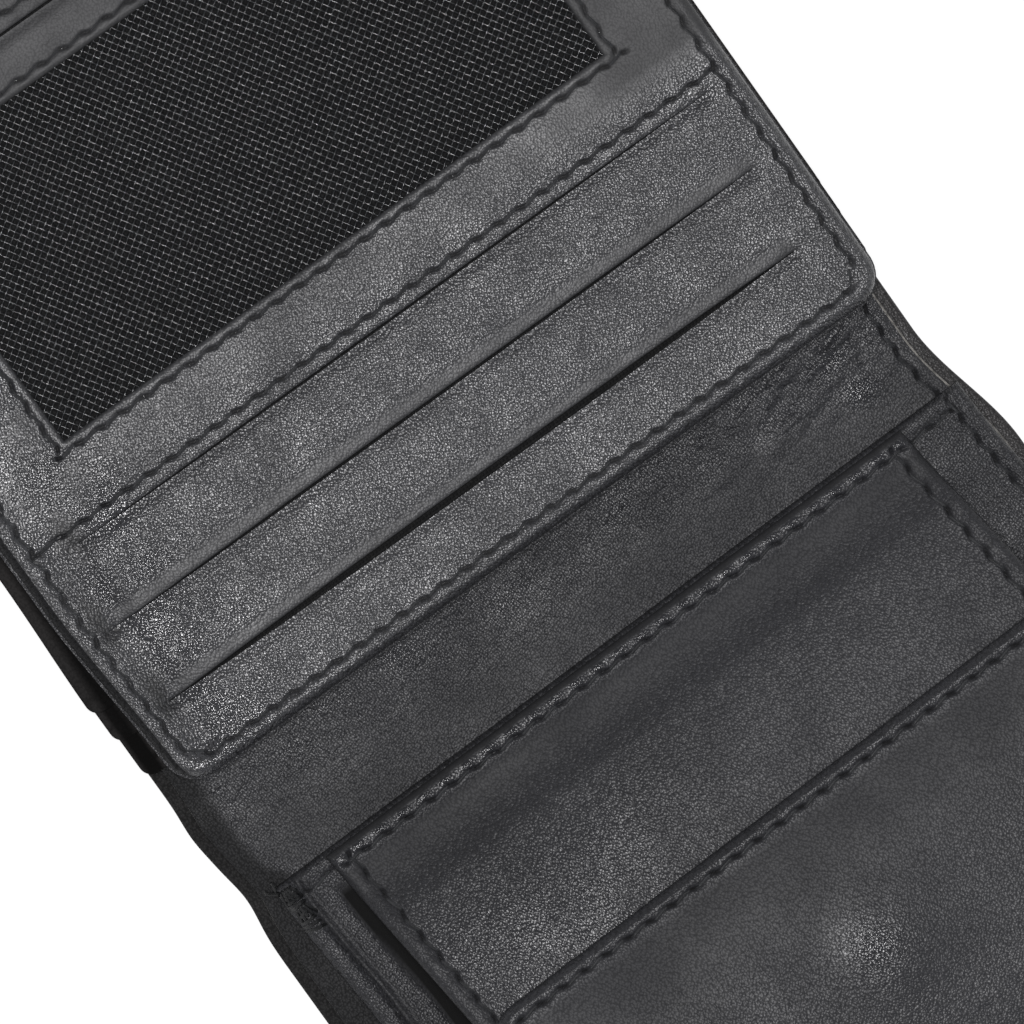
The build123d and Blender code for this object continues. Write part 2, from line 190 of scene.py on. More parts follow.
class WalletStage(bpy.types.PropertyGroup):
    """Floor, lamps and camera."""
    floor_colour: FloatVectorProperty(
        name="Floor", description="Colour of the floor",
        subtype="COLOR", size=3, min=0, max=1, default=(0.86, 0.86, 0.86))
    floor_clean: FloatProperty(
        name="Clean floor", description="Share of plain white in the floor that the camera sees",
        min=0, max=1, default=0.8)
    sky: FloatProperty(
        name="Sky", description="Level of the light from all round",
        min=0, default=0.24)
    softbox_power: FloatProperty(
        name="Softbox", description="Power of the softbox",
        unit="POWER", default=16.0)
    softbox_place: FloatVectorProperty(
        name="Softbox place", description="Middle of the softbox",
        subtype="XYZ", unit="LENGTH", default=(-0.10, 0.13, 1.10))
    fill_power: FloatProperty(
        name="Fill", description="Power of the weak lamp on the other side",
        unit="POWER", default=1.5)
    camera_place: FloatVectorProperty(
        name="Camera place", description="Where the camera stands",
        subtype="XYZ", unit="LENGTH", default=(-0.0556, 0.0713, 0.6982))
    camera_aim: FloatVectorProperty(
        name="Camera aim", description="The direction in which the camera looks",
        subtype="DIRECTION", default=(0.0784, -0.0860, -0.9932))
    camera_side: FloatVectorProperty(
        name="Camera side", description="The direction of the camera's right-hand side",
        subtype="DIRECTION", default=(0.8081, -0.5779, 0.1138))
    lens: FloatProperty(
        name="Lens", description="Focal length of the camera, in millimetres on a 36 mm sensor",
        default=213.3)


def mm(length):
    """A length, or several, in millimetres."""
    if hasattr(length, "__len__"):
        return tuple(value / MM for value in length)
    return length / MM


def span(node):
    """Left, right, near, far, bottom and top of a node of the frame, in millimetres."""
    low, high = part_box(node)
    return low.x / MM, high.x / MM, low.y / MM, high.y / MM, low.z / MM, high.z / MM


# ---------------------------------------------------------------- shaping leather
def ease(low, high, value):
    """0 up to low, 1 from high, and a smooth way between."""
    share = min(1.0, max(0.0, (value - low) / (high - low)))
    return share * share * (3 - 2 * share)


def bell(value, width):
    """A smooth hump, 1 in its middle."""
    return math.exp(-(value / width) ** 2)


def roll(depth, radius):
    """How far a rounded edge falls, at a distance inside it."""
    reach = min(radius, max(0.0, radius - depth))
    return radius - math.sqrt(radius * radius - reach * reach)


def waves(x, y, size, seed, stretch=1.0):
    """Low irregular waves from -1 to 1; stretch draws them out along X."""
    return noise.noise(Vector((x / (size * stretch), y / size, seed)))


def folds(x, y, size, seed, stretch=1.0):
    """Sharp-bottomed soft creases from 0 to 1; stretch draws them out along X."""
    return abs(noise.noise(Vector((x / (size * stretch), y / size, seed))))


class Outline:
    """A rectangle with rounded corners at its near end, its far end or both, in millimetres."""

    def __init__(self, left, right, near, far, radius=0.0, near_round=True, far_round=True):
        self.left, self.right, self.near, self.far = left, right, near, far
        self.middle = ((left + right) / 2, (near + far) / 2)
        self.half = ((right - left) / 2, (far - near) / 2)
        self.radius, self.near_round, self.far_round = radius, near_round, far_round

    def corner(self, y):
        """The radius of the corners at this end."""
        is_round = self.far_round if y > self.middle[1] else self.near_round
        return self.radius if is_round else 0.0

    def depth(self, x, y):
        """Distance inside the edge."""
        radius = self.corner(y)
        across = abs(x - self.middle[0]) - self.half[0] + radius
        along = abs(y - self.middle[1]) - self.half[1] + radius
        beyond = math.hypot(max(across, 0.0), max(along, 0.0))
        return radius - beyond - min(max(across, along), 0.0)

    def pull(self, x, y):
        """Moves a point of a square corner into the rounded one."""
        radius = self.corner(y)
        if radius <= 0:
            return x, y
        across = (abs(x - self.middle[0]) - self.half[0] + radius) / radius
        along = (abs(y - self.middle[1]) - self.half[1] + radius) / radius
        if across <= 0 or along <= 0:
            return x, y
        pulled_across = across * math.sqrt(1 - along * along / 2)
        pulled_along = along * math.sqrt(1 - across * across / 2)
        x_out = self.half[0] - radius + radius * pulled_across
        y_out = self.half[1] - radius + radius * pulled_along
        return (
            self.middle[0] + math.copysign(x_out, x - self.middle[0]),
            self.middle[1] + math.copysign(y_out, y - self.middle[1]))


class StitchRow:
    """A straight row of stitches; the edge that it holds down is on its right-hand side.

    Between two needle holes the thread leans a little off the row, and each hole is a short
    slanted slit that leads to the next stitch. A phase of 0 is the middle of a hole.
    """
    HOLE = 0.19         # half of a slit, as a share of the pitch
    REACH = 3.0         # how far from the row the leather is drawn, in millimetres
    GROOVE = 0.2        # half the width of the thread's groove
    SLIT = 0.18         # half the width of a slit
    HOLLOW = 1.2        # half the width of the hollow round the row

    def __init__(self, start, end, pitch, slant):
        self.start = start
        self.length = math.hypot(end[0] - start[0], end[1] - start[1])
        self.along = ((end[0] - start[0]) / self.length, (end[1] - start[1]) / self.length)
        self.count = max(1, round(self.length / pitch))
        self.pitch = self.length / self.count
        self.lean = math.tan(slant) * (0.5 - self.HOLE) * self.pitch
        self.low = [min(pair) - self.REACH for pair in zip(start, end)]
        self.high = [max(pair) + self.REACH for pair in zip(start, end)]

    def sway(self, phase):
        """How far the thread stands left of the row."""
        phase = (phase + 0.5) % 1.0 - 0.5
        if abs(phase) <= self.HOLE:
            return -self.lean * phase / self.HOLE
        beyond = phase - math.copysign(0.5, phase)
        return self.lean * beyond / (0.5 - self.HOLE)

    def pull(self, x, y):
        """Shares of the thread's groove, its hole, the lump beside it and the wide hollow."""
        if not (self.low[0] < x < self.high[0] and self.low[1] < y < self.high[1]):
            return 0.0, 0.0, 0.0, 0.0
        off_x, off_y = x - self.start[0], y - self.start[1]
        along = off_x * self.along[0] + off_y * self.along[1]
        across = off_y * self.along[0] - off_x * self.along[1]
        fade = ease(-0.7, 0.3, along) * ease(-0.7, 0.3, self.length - along)
        if fade <= 0:
            return 0.0, 0.0, 0.0, 0.0
        phase = (along / self.pitch + 0.5) % 1.0 - 0.5
        beside = across - self.sway(phase)
        to_hole = abs(phase) * self.pitch
        groove = fade * bell(beside, self.GROOVE)
        hole = fade * bell(beside, self.SLIT) * ease(0.72, 0.35, to_hole)
        lump = fade * bell(phase * self.pitch - 0.35, 0.9) * bell(across + 0.85, 0.5)
        return groove, hole, lump, fade * bell(across, self.HOLLOW)


def pulls(rows, x, y):
    """What several rows do to the leather at a point: how deep it sinks, and how it is pressed, with
    painted shade in the needle holes.
    """
    groove = hole = lump = hollow = 0.0
    for row in rows:
        row_groove, row_hole, row_lump, row_hollow = row.pull(x, y)
        groove, hole = max(groove, row_groove), max(hole, row_hole)
        lump, hollow = max(lump, row_lump), max(hollow, row_hollow)
    sunk = 0.16 * groove + 0.45 * hole + 0.05 * hollow - 0.15 * lump
    # Each needle hole's value goes above 1, which paints shade there.
    return sunk, min(1.0, 0.15 * groove + 0.2 * lump) + 1.3 * hole


def stitch_chain(*points):
    """Rows that join the given corners, one after another."""
    stitching = bpy.context.scene.wallet_stitching
    return [StitchRow(start, end, mm(stitching.pitch), stitching.slant)
            for start, end in zip(points, points[1:])]


ROW_LINES = (0.1, 0.2, 0.32, 0.48, 0.75, 1.0)     # finer lines on each side of a stitch row
EDGE_LINES = (0.12, 0.3, 0.55)                    # finer lines inside a turned edge


def ruled_lines(start, stop, step, firm=(), near=(0.09, 0.22, 0.42, 0.68), rows=()):
    """Places of a sheet's lines: evenly spread, with firm lines and finer ones close to them."""
    fine = [place + side * gap for place in rows for gap in ROW_LINES for side in (-1, 1)]
    firm = {start, stop, *firm}
    fine += [place + side * gap for place in firm for gap in near for side in (-1, 1)]
    firm = sorted({place for place in (*firm, *rows) if start <= place <= stop})
    count = max(1, round((stop - start) / step))
    loose = fine + [start + (stop - start) * share / count for share in range(1, count)]
    gap = 0.07      # no two lines stand closer
    lines = []
    for place in sorted(loose):
        clear = min(abs(place - other) for other in firm) > gap
        if start < place < stop and clear and (not lines or place - lines[-1] > gap):
            lines.append(place)
    return sorted(firm + lines)


def ruled_sheet(x_lines, y_lines):
    """A flat sheet with one column or row of corners on each line."""
    bm = bmesh.new()
    columns, rows = len(x_lines) - 1, len(y_lines) - 1
    bmesh.ops.create_grid(bm, x_segments=columns, y_segments=rows, size=1.0)
    for vert in bm.verts:
        column = round((vert.co.x + 1) / 2 * columns)
        row = round((vert.co.y + 1) / 2 * rows)
        vert.co = (x_lines[column], y_lines[row], 0.0)
    return bm


def cut_openings(bm, openings):
    """Takes out the faces inside each opening, given as left, right, near and far."""
    inside = []
    for face in bm.faces:
        x, y, _ = face.calc_center_median()
        if any(left < x < right and near < y < far for left, right, near, far in openings):
            inside.append(face)
    bmesh.ops.delete(bm, geom=inside, context="FACES")


def thick_sheet(bm, outline, top, under, mouths=(), drift=None):
    """Gives a flat ruled sheet its rounded corners, its top and its underside.

    The top is a height, or a height with how far the leather is pressed there, where values above 1
    and below 0 paint shade, and how it shines.
    """
    press_and_shade_layer = bm.verts.layers.float.new("pressed")
    shine_layer = bm.verts.layers.float.new("shine")
    for vert in bm.verts:
        x, y = outline.pull(vert.co.x, vert.co.y)
        for mouth in mouths:
            y = mouth.narrow(x, y)
        vert.co.x, vert.co.y = x, y
    raised = bmesh.ops.extrude_face_region(bm, geom=bm.faces[:], use_keep_orig=True)
    upper = {part for part in raised["geom"] if isinstance(part, bmesh.types.BMVert)}
    levels = {}
    for vert in upper:
        x, y = vert.co.x, vert.co.y
        level = top(x, y)
        if isinstance(level, tuple):
            level, vert[press_and_shade_layer], vert[shine_layer] = level
        vert.co.z = levels[(x, y)] = level
    for vert in bm.verts:
        x, y = vert.co.x, vert.co.y
        if vert not in upper:
            vert.co.z = min(under(x, y), levels[(x, y)] - 0.05)
        if drift:
            vert.co.x, vert.co.y = drift(x, y)


def finish_piece(bm, name, finishes, slot, body=None, bend=None, stands_for=(), crease=50):
    """Makes a shaped piece an object with named finishes that rides its body, or stays where it is
    when it is given a bend.
    """
    bmesh.ops.recalc_face_normals(bm, faces=bm.faces[:])
    bmesh.ops.scale(bm, vec=(MM, MM, MM), verts=bm.verts[:])
    mesh = bpy.data.meshes.new(name)
    bm.to_mesh(mesh)
    bm.free()
    mesh.shade_smooth()
    mesh.set_sharp_from_angle(angle=math.radians(crease))
    for finish in finishes:
        mesh.materials.append(finish_named(finish))
    piece = bpy.data.objects.new(name, mesh)
    bpy.context.scene.collection.objects.link(piece)
    if bend:
        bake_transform(piece)
    else:
        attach(piece, body)
    if stands_for:
        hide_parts(*stands_for)
    return piece


def mark_strip(bm, start, stop):
    """Gives the faces of a flat sheet between two places along X the second finish."""
    for face in bm.faces:
        if start < face.calc_center_median().x < stop:
            face.material_index = 1


def mark_cut_edges(bm):
    """Gives the upright faces round a raw-cut piece the second finish."""
    bm.normal_update()
    for face in bm.faces:
        if abs(face.normal.z) < 0.35:
            face.material_index = 1


def make_panel(name, lines, outline, top, under, finishes, slot, drift=None, mouths=(),
               openings=(), strip=None, cut_edges=False, rows=(), **place):
    """Builds a whole panel from its lines along X and Y, and puts it in its place.

    The second finish is for a strip between two places along X, and for raw cut edges. Rows
    are sewn with a thread that rides the panel's body.
    """
    bm = ruled_sheet(*lines)
    cut_openings(bm, openings)
    if strip:
        mark_strip(bm, *strip)
    thick_sheet(bm, outline, top, under, mouths, drift)
    if cut_edges:
        mark_cut_edges(bm)
    piece = finish_piece(bm, name, finishes, slot, **place)
    if rows:
        thread = name.replace("leather", "thread")
        stitch_threads(thread, rows, top, slot, body=place["body"], drift=drift)
    return piece


def spine_halves(near, far, outer, inner):
    """The upper and the lower half of a sheet over the spine: its ends, and the bend that is given for
    it.

    The bend names two bodies and an outer and an inner distance from the spine's middle.
    """
    return (
        ("upper", 0.0, far, ("card_half", "spine", (0, outer, 0), (0, inner, 0))),
        ("lower", near, 0.0, ("spine", "coin_half", (0, -inner, 0), (0, -outer, 0))))


# ---------------------------------------------------------------- where the soft wallet leans
HALF_WIDTH = 52.0       # half of the wallet's width


def body_drift(x, y):
    """The cover and inner leather are drawn in at the right of the fold, and bulge beyond it."""
    if x > 0:
        shift = -2.0 + 2.95 * ease(1.0, -17.0, y)
    else:
        shift = 0.3 - 0.7 * bell(y + 7.5, 4.0) + 0.3 * bell(y - 2.0, 3.0)
    return x + shift * x / HALF_WIDTH, y


def fold_turn(x, y):
    """How far the pouch's sewn edge is askew; that fades away from the fold."""
    return (0.0115 * x - 0.2) * (1 - ease(-9.0, -40.0, y))


def base_drift(x, y):
    """The panel under the pouch leans to the right, more at its right edge."""
    lean = mm(bpy.context.scene.wallet_pouch.base_lean) * (1.35 + x / 140.0)
    shift = lean * ease(-7.0, -34.0, y) - 0.45 * lean * ease(-60.0, -95.0, y)
    return x + shift, y + fold_turn(x, y)


def pouch_lean(y):
    """How far the pouch's front and flap stand to the right, at a distance from the fold."""
    lean = mm(bpy.context.scene.wallet_pouch.lean)
    snap_y = -52.5
    if y > snap_y:
        share = (-8.5 - y) / 44.0
        return lean * (1.12 * share - 0.48 * max(0.0, share - 0.5) ** 2)
    return lean * (1.0 - 0.35 * ease(snap_y, -92.0, y))


def front_drift(x, y):
    """The pouch's front leans with the pouch, and its sewn edge follows the base's."""
    return x * 1.022 + pouch_lean(y), y + fold_turn(x, y)


def flap_drift(x, y):
    """The card flap widens a little to the left, away from its free edge."""
    return x - 1.4 * ease(8.0, 34.0, y) * ease(-43.0, -50.5, x), y


def coin_flap_drift(x, y):
    """The coin flap leans with the pouch, and its free edge is a little askew."""
    turn = (0.017 * x + 0.75) * (1 - ease(-36.0, -62.0, y))
    return x + pouch_lean(y), y + turn


# ---------------------------------------------------------------- finishes
class Finish:
    """A material whose nodes are added one after another."""

    def __init__(self, name):
        self.material = bpy.data.materials.new(name)
        self.material.use_nodes = True
        self.tree = self.material.node_tree
        self.shader = self.tree.nodes["Principled BSDF"]
        self.place = self.add("ShaderNodeTexCoord").outputs["Object"]

    def add(self, kind, inputs=None, **settings):
        """Adds a node; a socket among the inputs is linked, and anything else is its value."""
        made = self.tree.nodes.new(kind)
        for key, value in settings.items():
            setattr(made, key, value)
        self.put(made, inputs or {})
        return made

    def put(self, made, inputs):
        """Sets or links the inputs of a node."""
        for key, value in inputs.items():
            if isinstance(value, bpy.types.NodeSocket):
                self.tree.links.new(value, made.inputs[key])
            else:
                made.inputs[key].default_value = value

    def maths(self, operation, *values, clamp=False):
        """One step of arithmetic."""
        made = self.add(
            "ShaderNodeMath", dict(enumerate(values)), operation=operation, use_clamp=clamp)
        return made.outputs[0]

    def spread(self, value, low, high, new_low, new_high):
        """Maps a value's range to another, and keeps it inside."""
        made = self.add("ShaderNodeMapRange", {
            "Value": value, "From Min": low, "From Max": high,
            "To Min": new_low, "To Max": new_high})
        return made.outputs["Result"]

    def dome(self, distance, reach=0.72):
        """A round hump, 1 in the middle and 0 at its reach."""
        share = self.maths("DIVIDE", distance, reach, clamp=True)
        return self.maths("SUBTRACT", 1.0, self.maths("MULTIPLY", share, share))

    def vectors(self, operation, *values, scale=None):
        """One step of arithmetic with vectors."""
        inputs = dict(enumerate(values))
        if scale is not None:
            inputs["Scale"] = scale
        return self.add("ShaderNodeVectorMath", inputs, operation=operation).outputs[0]

    def mottle(self, source, low, high, colour, dark_by):
        """A colour that is darker where its source is low."""
        made = self.add("ShaderNodeMix", data_type="RGBA")
        dark = [value * dark_by for value in colour]
        share = self.spread(source, low, high, 0.0, 1.0)
        self.put(made, {0: share, 6: (*dark, 1.0), 7: (*colour, 1.0)})
        return made.outputs[2]

    def bump(self, height, distance, strength=1.0):
        """Fine relief."""
        return self.add("ShaderNodeBump", {
            "Strength": strength, "Distance": distance, "Height": height})

    def done(self, tint, rough, bump, gloss):
        """Joins the parts to the shader and gives the whole material."""
        self.put(self.shader, {
            "Base Color": tint, "Roughness": rough, "Normal": bump.outputs[0],
            "Specular IOR Level": gloss})
        return self.material

    def cloud(self, scale, detail=2.0, where=None):
        """Soft noise from 0 to 1."""
        made = self.add("ShaderNodeTexNoise", {
            "Vector": where or self.place, "Scale": scale, "Detail": detail})
        return made.outputs["Fac"]


def leather_finish(name, leather, roughness, grain=1.0, turn=0.0, gloss=0.5, tone=1.0,
                   facets=0.25, warmth=0.0, crease_tone=0.35, upright=False):
    """Grained leather: small round pebbles, with painted shade in the creases between them.

    It is smoothed and a little darkened where it is pressed; above 1 it gets painted shade that turns
    it black, and below 0 painted shade that keeps its grain but makes it dark and dull. An upright
    piece has its grain in all three directions; a flat one has it seen from above.
    """
    made = Finish(name)
    pressed = made.add("ShaderNodeAttribute", attribute_name="pressed").outputs["Fac"]
    shine = made.add("ShaderNodeAttribute", attribute_name="shine").outputs["Fac"]
    scale = (1 / leather.grain_width, 1 / leather.grain_length, 1 / leather.grain_width)
    laid = made.add("ShaderNodeMapping", {
        "Vector": made.place, "Rotation": (0, 0, turn), "Scale": scale}).outputs[0]
    stray = made.add("ShaderNodeTexNoise", {"Vector": laid, "Scale": 0.4, "Detail": 1.0})
    bent = made.vectors("MULTIPLY_ADD", stray.outputs["Color"], (1.1, 1.1, 1.1), laid)

    def cells(size, feature="F1"):
        return made.add(
            "ShaderNodeTexVoronoi", {"Vector": bent, "Scale": size}, feature=feature,
            voronoi_dimensions="3D" if upright else "2D").outputs

    def scaled(value, source, *spreads):
        """The value times what the source gives in each of its ranges."""
        for ends in spreads:
            value = made.maths("MULTIPLY", value, made.spread(source, *ends))
        return value

    pebbles = cells(1.0)
    pebble = made.dome(pebbles["Distance"])
    crumb = made.dome(cells(2.3)["Distance"])
    crease = made.spread(cells(0.17, "DISTANCE_TO_EDGE")["Distance"], 0.0, 0.09, -0.45, 0.0)
    mottled = made.cloud(140.0)
    coarse = made.cloud(45.0, 1.0)
    kept = made.spread(pressed, 0.0, 1.0, 1.0, 0.3)
    amount = made.maths("MULTIPLY", made.spread(mottled, 0.3, 0.7, 0.75 * grain, 1.2 * grain), kept)
    height = made.maths("ADD", made.maths("MULTIPLY_ADD", crumb, 0.16, pebble), crease)
    height = made.maths("MULTIPLY", height, amount)
    tilt = made.vectors("SUBTRACT", pebbles["Color"], (0.5, 0.5, 0.5))
    tilt = made.vectors("SCALE", tilt, scale=made.maths("MULTIPLY", amount, facets))
    normal = made.add("ShaderNodeNewGeometry").outputs["Normal"]
    normal = made.vectors("NORMALIZE", made.vectors("ADD", normal, tilt))
    bump = made.add("ShaderNodeBump", {
        "Strength": 1.0, "Distance": leather.grain_height, "Height": height, "Normal": normal})
    pebble = made.maths("MULTIPLY_ADD", made.maths("SUBTRACT", pebble, 0.6), kept, 0.6)
    # Painted shade: the colour darkens towards each pebble's edge and into the creases.
    shade = made.spread(pebble, 0.0, 0.8, crease_tone, 1.15)
    shade = scaled(shade, coarse, (0.3, 0.7, 0.85 * tone, 1.15 * tone))
    # Pressing darkens the colour a little; values above 1 and below 0 paint shade.
    shade = scaled(shade, pressed, (0, 1, 1, 0.6), (0.9, 1.5, 1, 0.05), (-1, 0, 0.05, 1))
    red, green, blue = leather.colour
    tint = made.vectors(
        "SCALE", (red * (1 + warmth), green, blue * (1 - warmth)), scale=shade)
    rough = made.spread(mottled, 0.25, 0.75, roughness - 0.04, roughness + 0.06)
    for source, ends in (
            (pebble, (0, 1, 0.15, -0.03)), (pressed, (0, 1, 0, 0.25)),
            (pressed, (0.9, 1.5, 0, 0.3)), (pressed, (-1, 0, 0.4, 0))):
        rough = made.maths("ADD", rough, made.spread(source, *ends))
    rough = made.maths("SUBTRACT", rough, made.maths("MULTIPLY", shine, 0.14))
    return made.done(tint, rough, bump, gloss)


def cut_edge_finish(name, leather):
    """The raw edge of cut leather: pale, matt and fibrous."""
    made = Finish(name)
    tint = made.mottle(made.cloud(1500.0), 0.3, 0.7, leather.cut_colour, 0.3)
    return made.done(tint, 0.8, made.bump(made.cloud(9000.0, 3.0), 0.00008), 0.3)


def cloth_finish(name, colour, thread_pitch):
    """Plain woven lining cloth with a dull sheen."""
    made = Finish(name)
    warp, weft = (
        made.add("ShaderNodeTexWave", {
            "Vector": made.place, "Scale": 0.5 / thread_pitch / math.pi, "Distortion": 0.4,
            "Detail": 1.0}, bands_direction=direction).outputs["Fac"]
        for direction in ("X", "Y"))
    slubs = made.cloud(2500.0)
    height = made.maths("MULTIPLY_ADD", slubs, 0.4, made.maths("MULTIPLY", warp, weft))
    # The colour is darker where the weave lies low: painted shade between the threads, with the slubs'
    # uneven tone.
    tint = made.mottle(height, 0.1, 1.1, colour, 0.4)
    rough = made.spread(slubs, 0.3, 0.7, 0.62, 0.78)
    return made.done(tint, rough, made.bump(height, 0.00008, 0.8), 0.12)


def strand_finish(name, colour, roughness, twist=0.0, gloss=0.5):
    """Smooth thread or strand with fine fibres along it."""
    made = Finish(name)
    pale = [value * 2.2 for value in colour]
    tint = made.mottle(made.cloud(420.0), 0.3, 0.75, pale, 1 / 2.2)
    rough = made.spread(made.cloud(900.0), 0.3, 0.7, roughness - 0.1, roughness + 0.14)
    return made.done(tint, rough, made.bump(made.cloud(16000.0), 0.00003, 0.6 + twist), gloss)


def metal_finish(name, colour, roughness):
    """Plated snap metal, faintly brushed and rubbed."""
    made = Finish(name)
    rubs = made.cloud(1200.0, 3.0)
    along = made.add("ShaderNodeMapping", {
        "Vector": made.place, "Scale": (900.0, 12000.0, 900.0)}).outputs[0]
    tint = made.mottle(rubs, 0.35, 0.7, colour, 0.7)
    rough = made.spread(rubs, 0.3, 0.7, roughness - 0.06, roughness + 0.12)
    made.put(made.shader, {"Metallic": 1.0})
    return made.done(tint, rough, made.bump(made.cloud(1.0, 2.0, along), 0.00001, 0.3), 0.5)


FINISHES = {}


def finish_named(name):
    """A finish by its name, made the first time it is asked for."""
    if name in FINISHES:
        return FINISHES[name]
    leather = bpy.context.scene.wallet_leather
    polished, dull = leather.flap_roughness, leather.body_roughness
    thread = bpy.context.scene.wallet_stitching.colour
    waxed = [value * 0.3 for value in thread]
    makers = {
        "flap_leather": (leather_finish, leather, polished, dict(turn=0.5, gloss=0.7)),
        # A darker, duller copy of the flap's leather: painted shade on the outer side of the flap's
        # left rim.
        "rim_leather": (leather_finish, leather, polished + 0.1, dict(
            grain=0.7, turn=0.5, gloss=0.14, tone=0.45)),
        "hinge_leather": (leather_finish, leather, polished, dict(
            turn=0.5, gloss=0.6, upright=True)),
        "inner_leather": (leather_finish, leather, dull - 0.03, dict(
            turn=-0.3, gloss=0.32, tone=0.75, facets=0.42, crease_tone=0.5)),
        "pouch_leather": (leather_finish, leather, dull, dict(
            grain=0.6, turn=0.9, gloss=0.25, tone=0.75, facets=0.4, crease_tone=0.7)),
        "gusset_leather": (leather_finish, leather, dull, dict(
            grain=0.6, gloss=0.3, tone=0.7, upright=True)),
        # Darker tone and little gloss: painted shadow where the card flap's rim shades the pockets'
        # left ends.
        "pocket_leather": (leather_finish, leather, dull, dict(
            grain=0.6, gloss=0.12, tone=0.5, warmth=0.12)),
        "outer_leather": (leather_finish, leather, dull, dict(
            grain=0.9, turn=0.2, gloss=0.35, tone=0.7, warmth=0.1, upright=True)),
        "cut_leather_edge": (cut_edge_finish, leather, {}),
        "lining_cloth": (cloth_finish, (0.014, 0.015, 0.018), 0.00028, {}),
        # Nearly black: painted shade inside the card slots and behind the window's mesh.
        "slot_cloth": (cloth_finish, (0.0022, 0.0023, 0.0026), 0.00024, {}),
        "stitch_thread": (strand_finish, thread, 0.48, dict(twist=0.4)),
        "waxed_thread": (strand_finish, waxed, 0.4, dict(gloss=0.45)),
        "mesh_strand": (strand_finish, bpy.context.scene.wallet_mesh.colour, 0.19, dict(gloss=0.7)),
        "snap_nickel": (metal_finish, (0.42, 0.41, 0.39), 0.28, {}),
        "snap_steel": (metal_finish, (0.30, 0.30, 0.31), 0.38, {}),
    }
    make, *values, settings = makers[name]
    FINISHES[name] = make(name, *values, **settings)
    return FINISHES[name]


# ---------------------------------------------------------------- thread
def stitch_threads(name, rows, surface, slot, body=None, bend=None, drift=None, up=1.0,
                   jitter=0.12, thick_by=1.0, finish="stitch_thread"):
    """One object of short threads, each lying in its groove and sunk at its ends."""
    radius = mm(bpy.context.scene.wallet_stitching.thread) / 2 * thick_by
    template = bmesh.new()
    bmesh.ops.create_cone(
        template, segments=5, cap_ends=True, radius1=radius, radius2=radius, depth=1.0)
    long_edges = [edge for edge in template.edges
                  if abs(edge.verts[0].co.z - edge.verts[1].co.z) > 0.5]
    bmesh.ops.subdivide_edges(template, edges=long_edges, cuts=6, use_grid_fill=True)
    stitch = bpy.data.meshes.new("one_stitch")
    template.to_mesh(stitch)
    template.free()
    bm = bmesh.new()
    number = 0
    for row in rows:
        for index in range(row.count):
            number += 1
            first = len(bm.verts)
            bm.from_mesh(stitch)
            bm.verts.ensure_lookup_table()
            stray = jitter * noise.noise(Vector((number * 0.73, 0.4, 3.1)))
            for vert in bm.verts[first:]:
                share = vert.co.z + 0.5
                reach = 0.09 + 0.82 * share
                along = (index + reach) * row.pitch
                aside = row.sway(reach) * (1 + stray)
                end = (2 * share - 1) ** 6
                thick = 1.0 - 0.45 * end
                middle_x = row.start[0] + along * row.along[0] - aside * row.along[1]
                middle_y = row.start[1] + along * row.along[1] + aside * row.along[0]
                level = surface(middle_x, middle_y)
                if isinstance(level, tuple):
                    level = level[0]
                level += up * (0.03 + stray * 0.3 - 0.3 * end)
                x = middle_x - vert.co.x * thick * row.along[1]
                y = middle_y + vert.co.x * thick * row.along[0]
                if drift:
                    x, y = drift(x, y)
                vert.co = (x, y, level + up * vert.co.y * thick)
    bpy.data.meshes.remove(stitch)
    finish_piece(bm, name, [finish], slot, body, bend, crease=60)


# ---------------------------------------------------------------- outer cover and linings
class WALLET_OT_cover(bpy.types.Operator):
    """Builds the outer cover as two soft sheets that meet over the spine, with its seam rows"""
    bl_idname = "wallet.cover"
    bl_label = "Outer cover"

    def execute(self, context):
        left, right, near, _, bottom, top_level = span("cover_lower")
        far = span("cover_upper")[3]
        soft = mm(context.scene.wallet_leather.softness)
        outline = Outline(left, right, near, far, radius=4.0)
        hem = 2.4       # width of the turned-in edge
        seam, seam_left = right - 3.7, left + 3.5
        seam_near, seam_far = near + 2.2, far - 2.2
        rows = stitch_chain((seam, seam_near), (seam, seam_far))
        for end in (seam_near, seam_far):
            rows += stitch_chain((seam_left, end), (seam, end))

        def top(x, y):
            depth = outline.depth(x, y)
            level = top_level + 0.34 * ease(hem + 0.3, hem - 0.2, depth) - 0.5 * roll(depth, 0.9)
            # Painted shade: the left border is darkened and dulled, with its grain kept.
            painted_shade = 0.85 * ease(-46.0, -48.0, x)
            return level, -painted_shade, 0.0

        def under(x, y):
            sunk, _ = pulls(rows, x, y)
            rest = soft * 0.5 * (1 + waves(x, y, 14.0, 5.3)) * ease(0.5, 6.0, outline.depth(x, y))
            fold = 0.12 * (bell(y - 6.8, 1.2) + bell(y + 6.8, 1.2)) * folds(x, y, 2.4, 8.8, 5.0)
            lift = sunk + rest + fold
            return bottom + 0.65 * roll(outline.depth(x, y), 1.0) + lift

        stands_for = {"upper": ["cover_upper", "cover_spine"], "lower": ["cover_lower"]}
        bends = 11.8, 1.8
        for half, start, stop, bend in spine_halves(near, far, *bends):
            lines = (
                ruled_lines(left, right, 0.75, firm=(left + hem, seam, right - hem)),
                ruled_lines(start, stop, 0.45, near=(0.12, 0.3, 0.6)))
            make_panel(
                "cover_leather_" + half, lines, outline, top, under, ["outer_leather"],
                "outer_leather", drift=body_drift, bend=bend, stands_for=stands_for[half])
        for half, start, stop, bend in spine_halves(seam_near, seam_far, *bends):
            end = stop if half == "upper" else start
            side = stitch_chain((seam, start), (seam, stop))
            across = stitch_chain((seam_left, end), (seam, end))
            stitch_threads(
                "cover_thread_" + half, side + across, under, "outer_leather", bend=bend,
                drift=body_drift, up=-0.8)
        return {"FINISHED"}


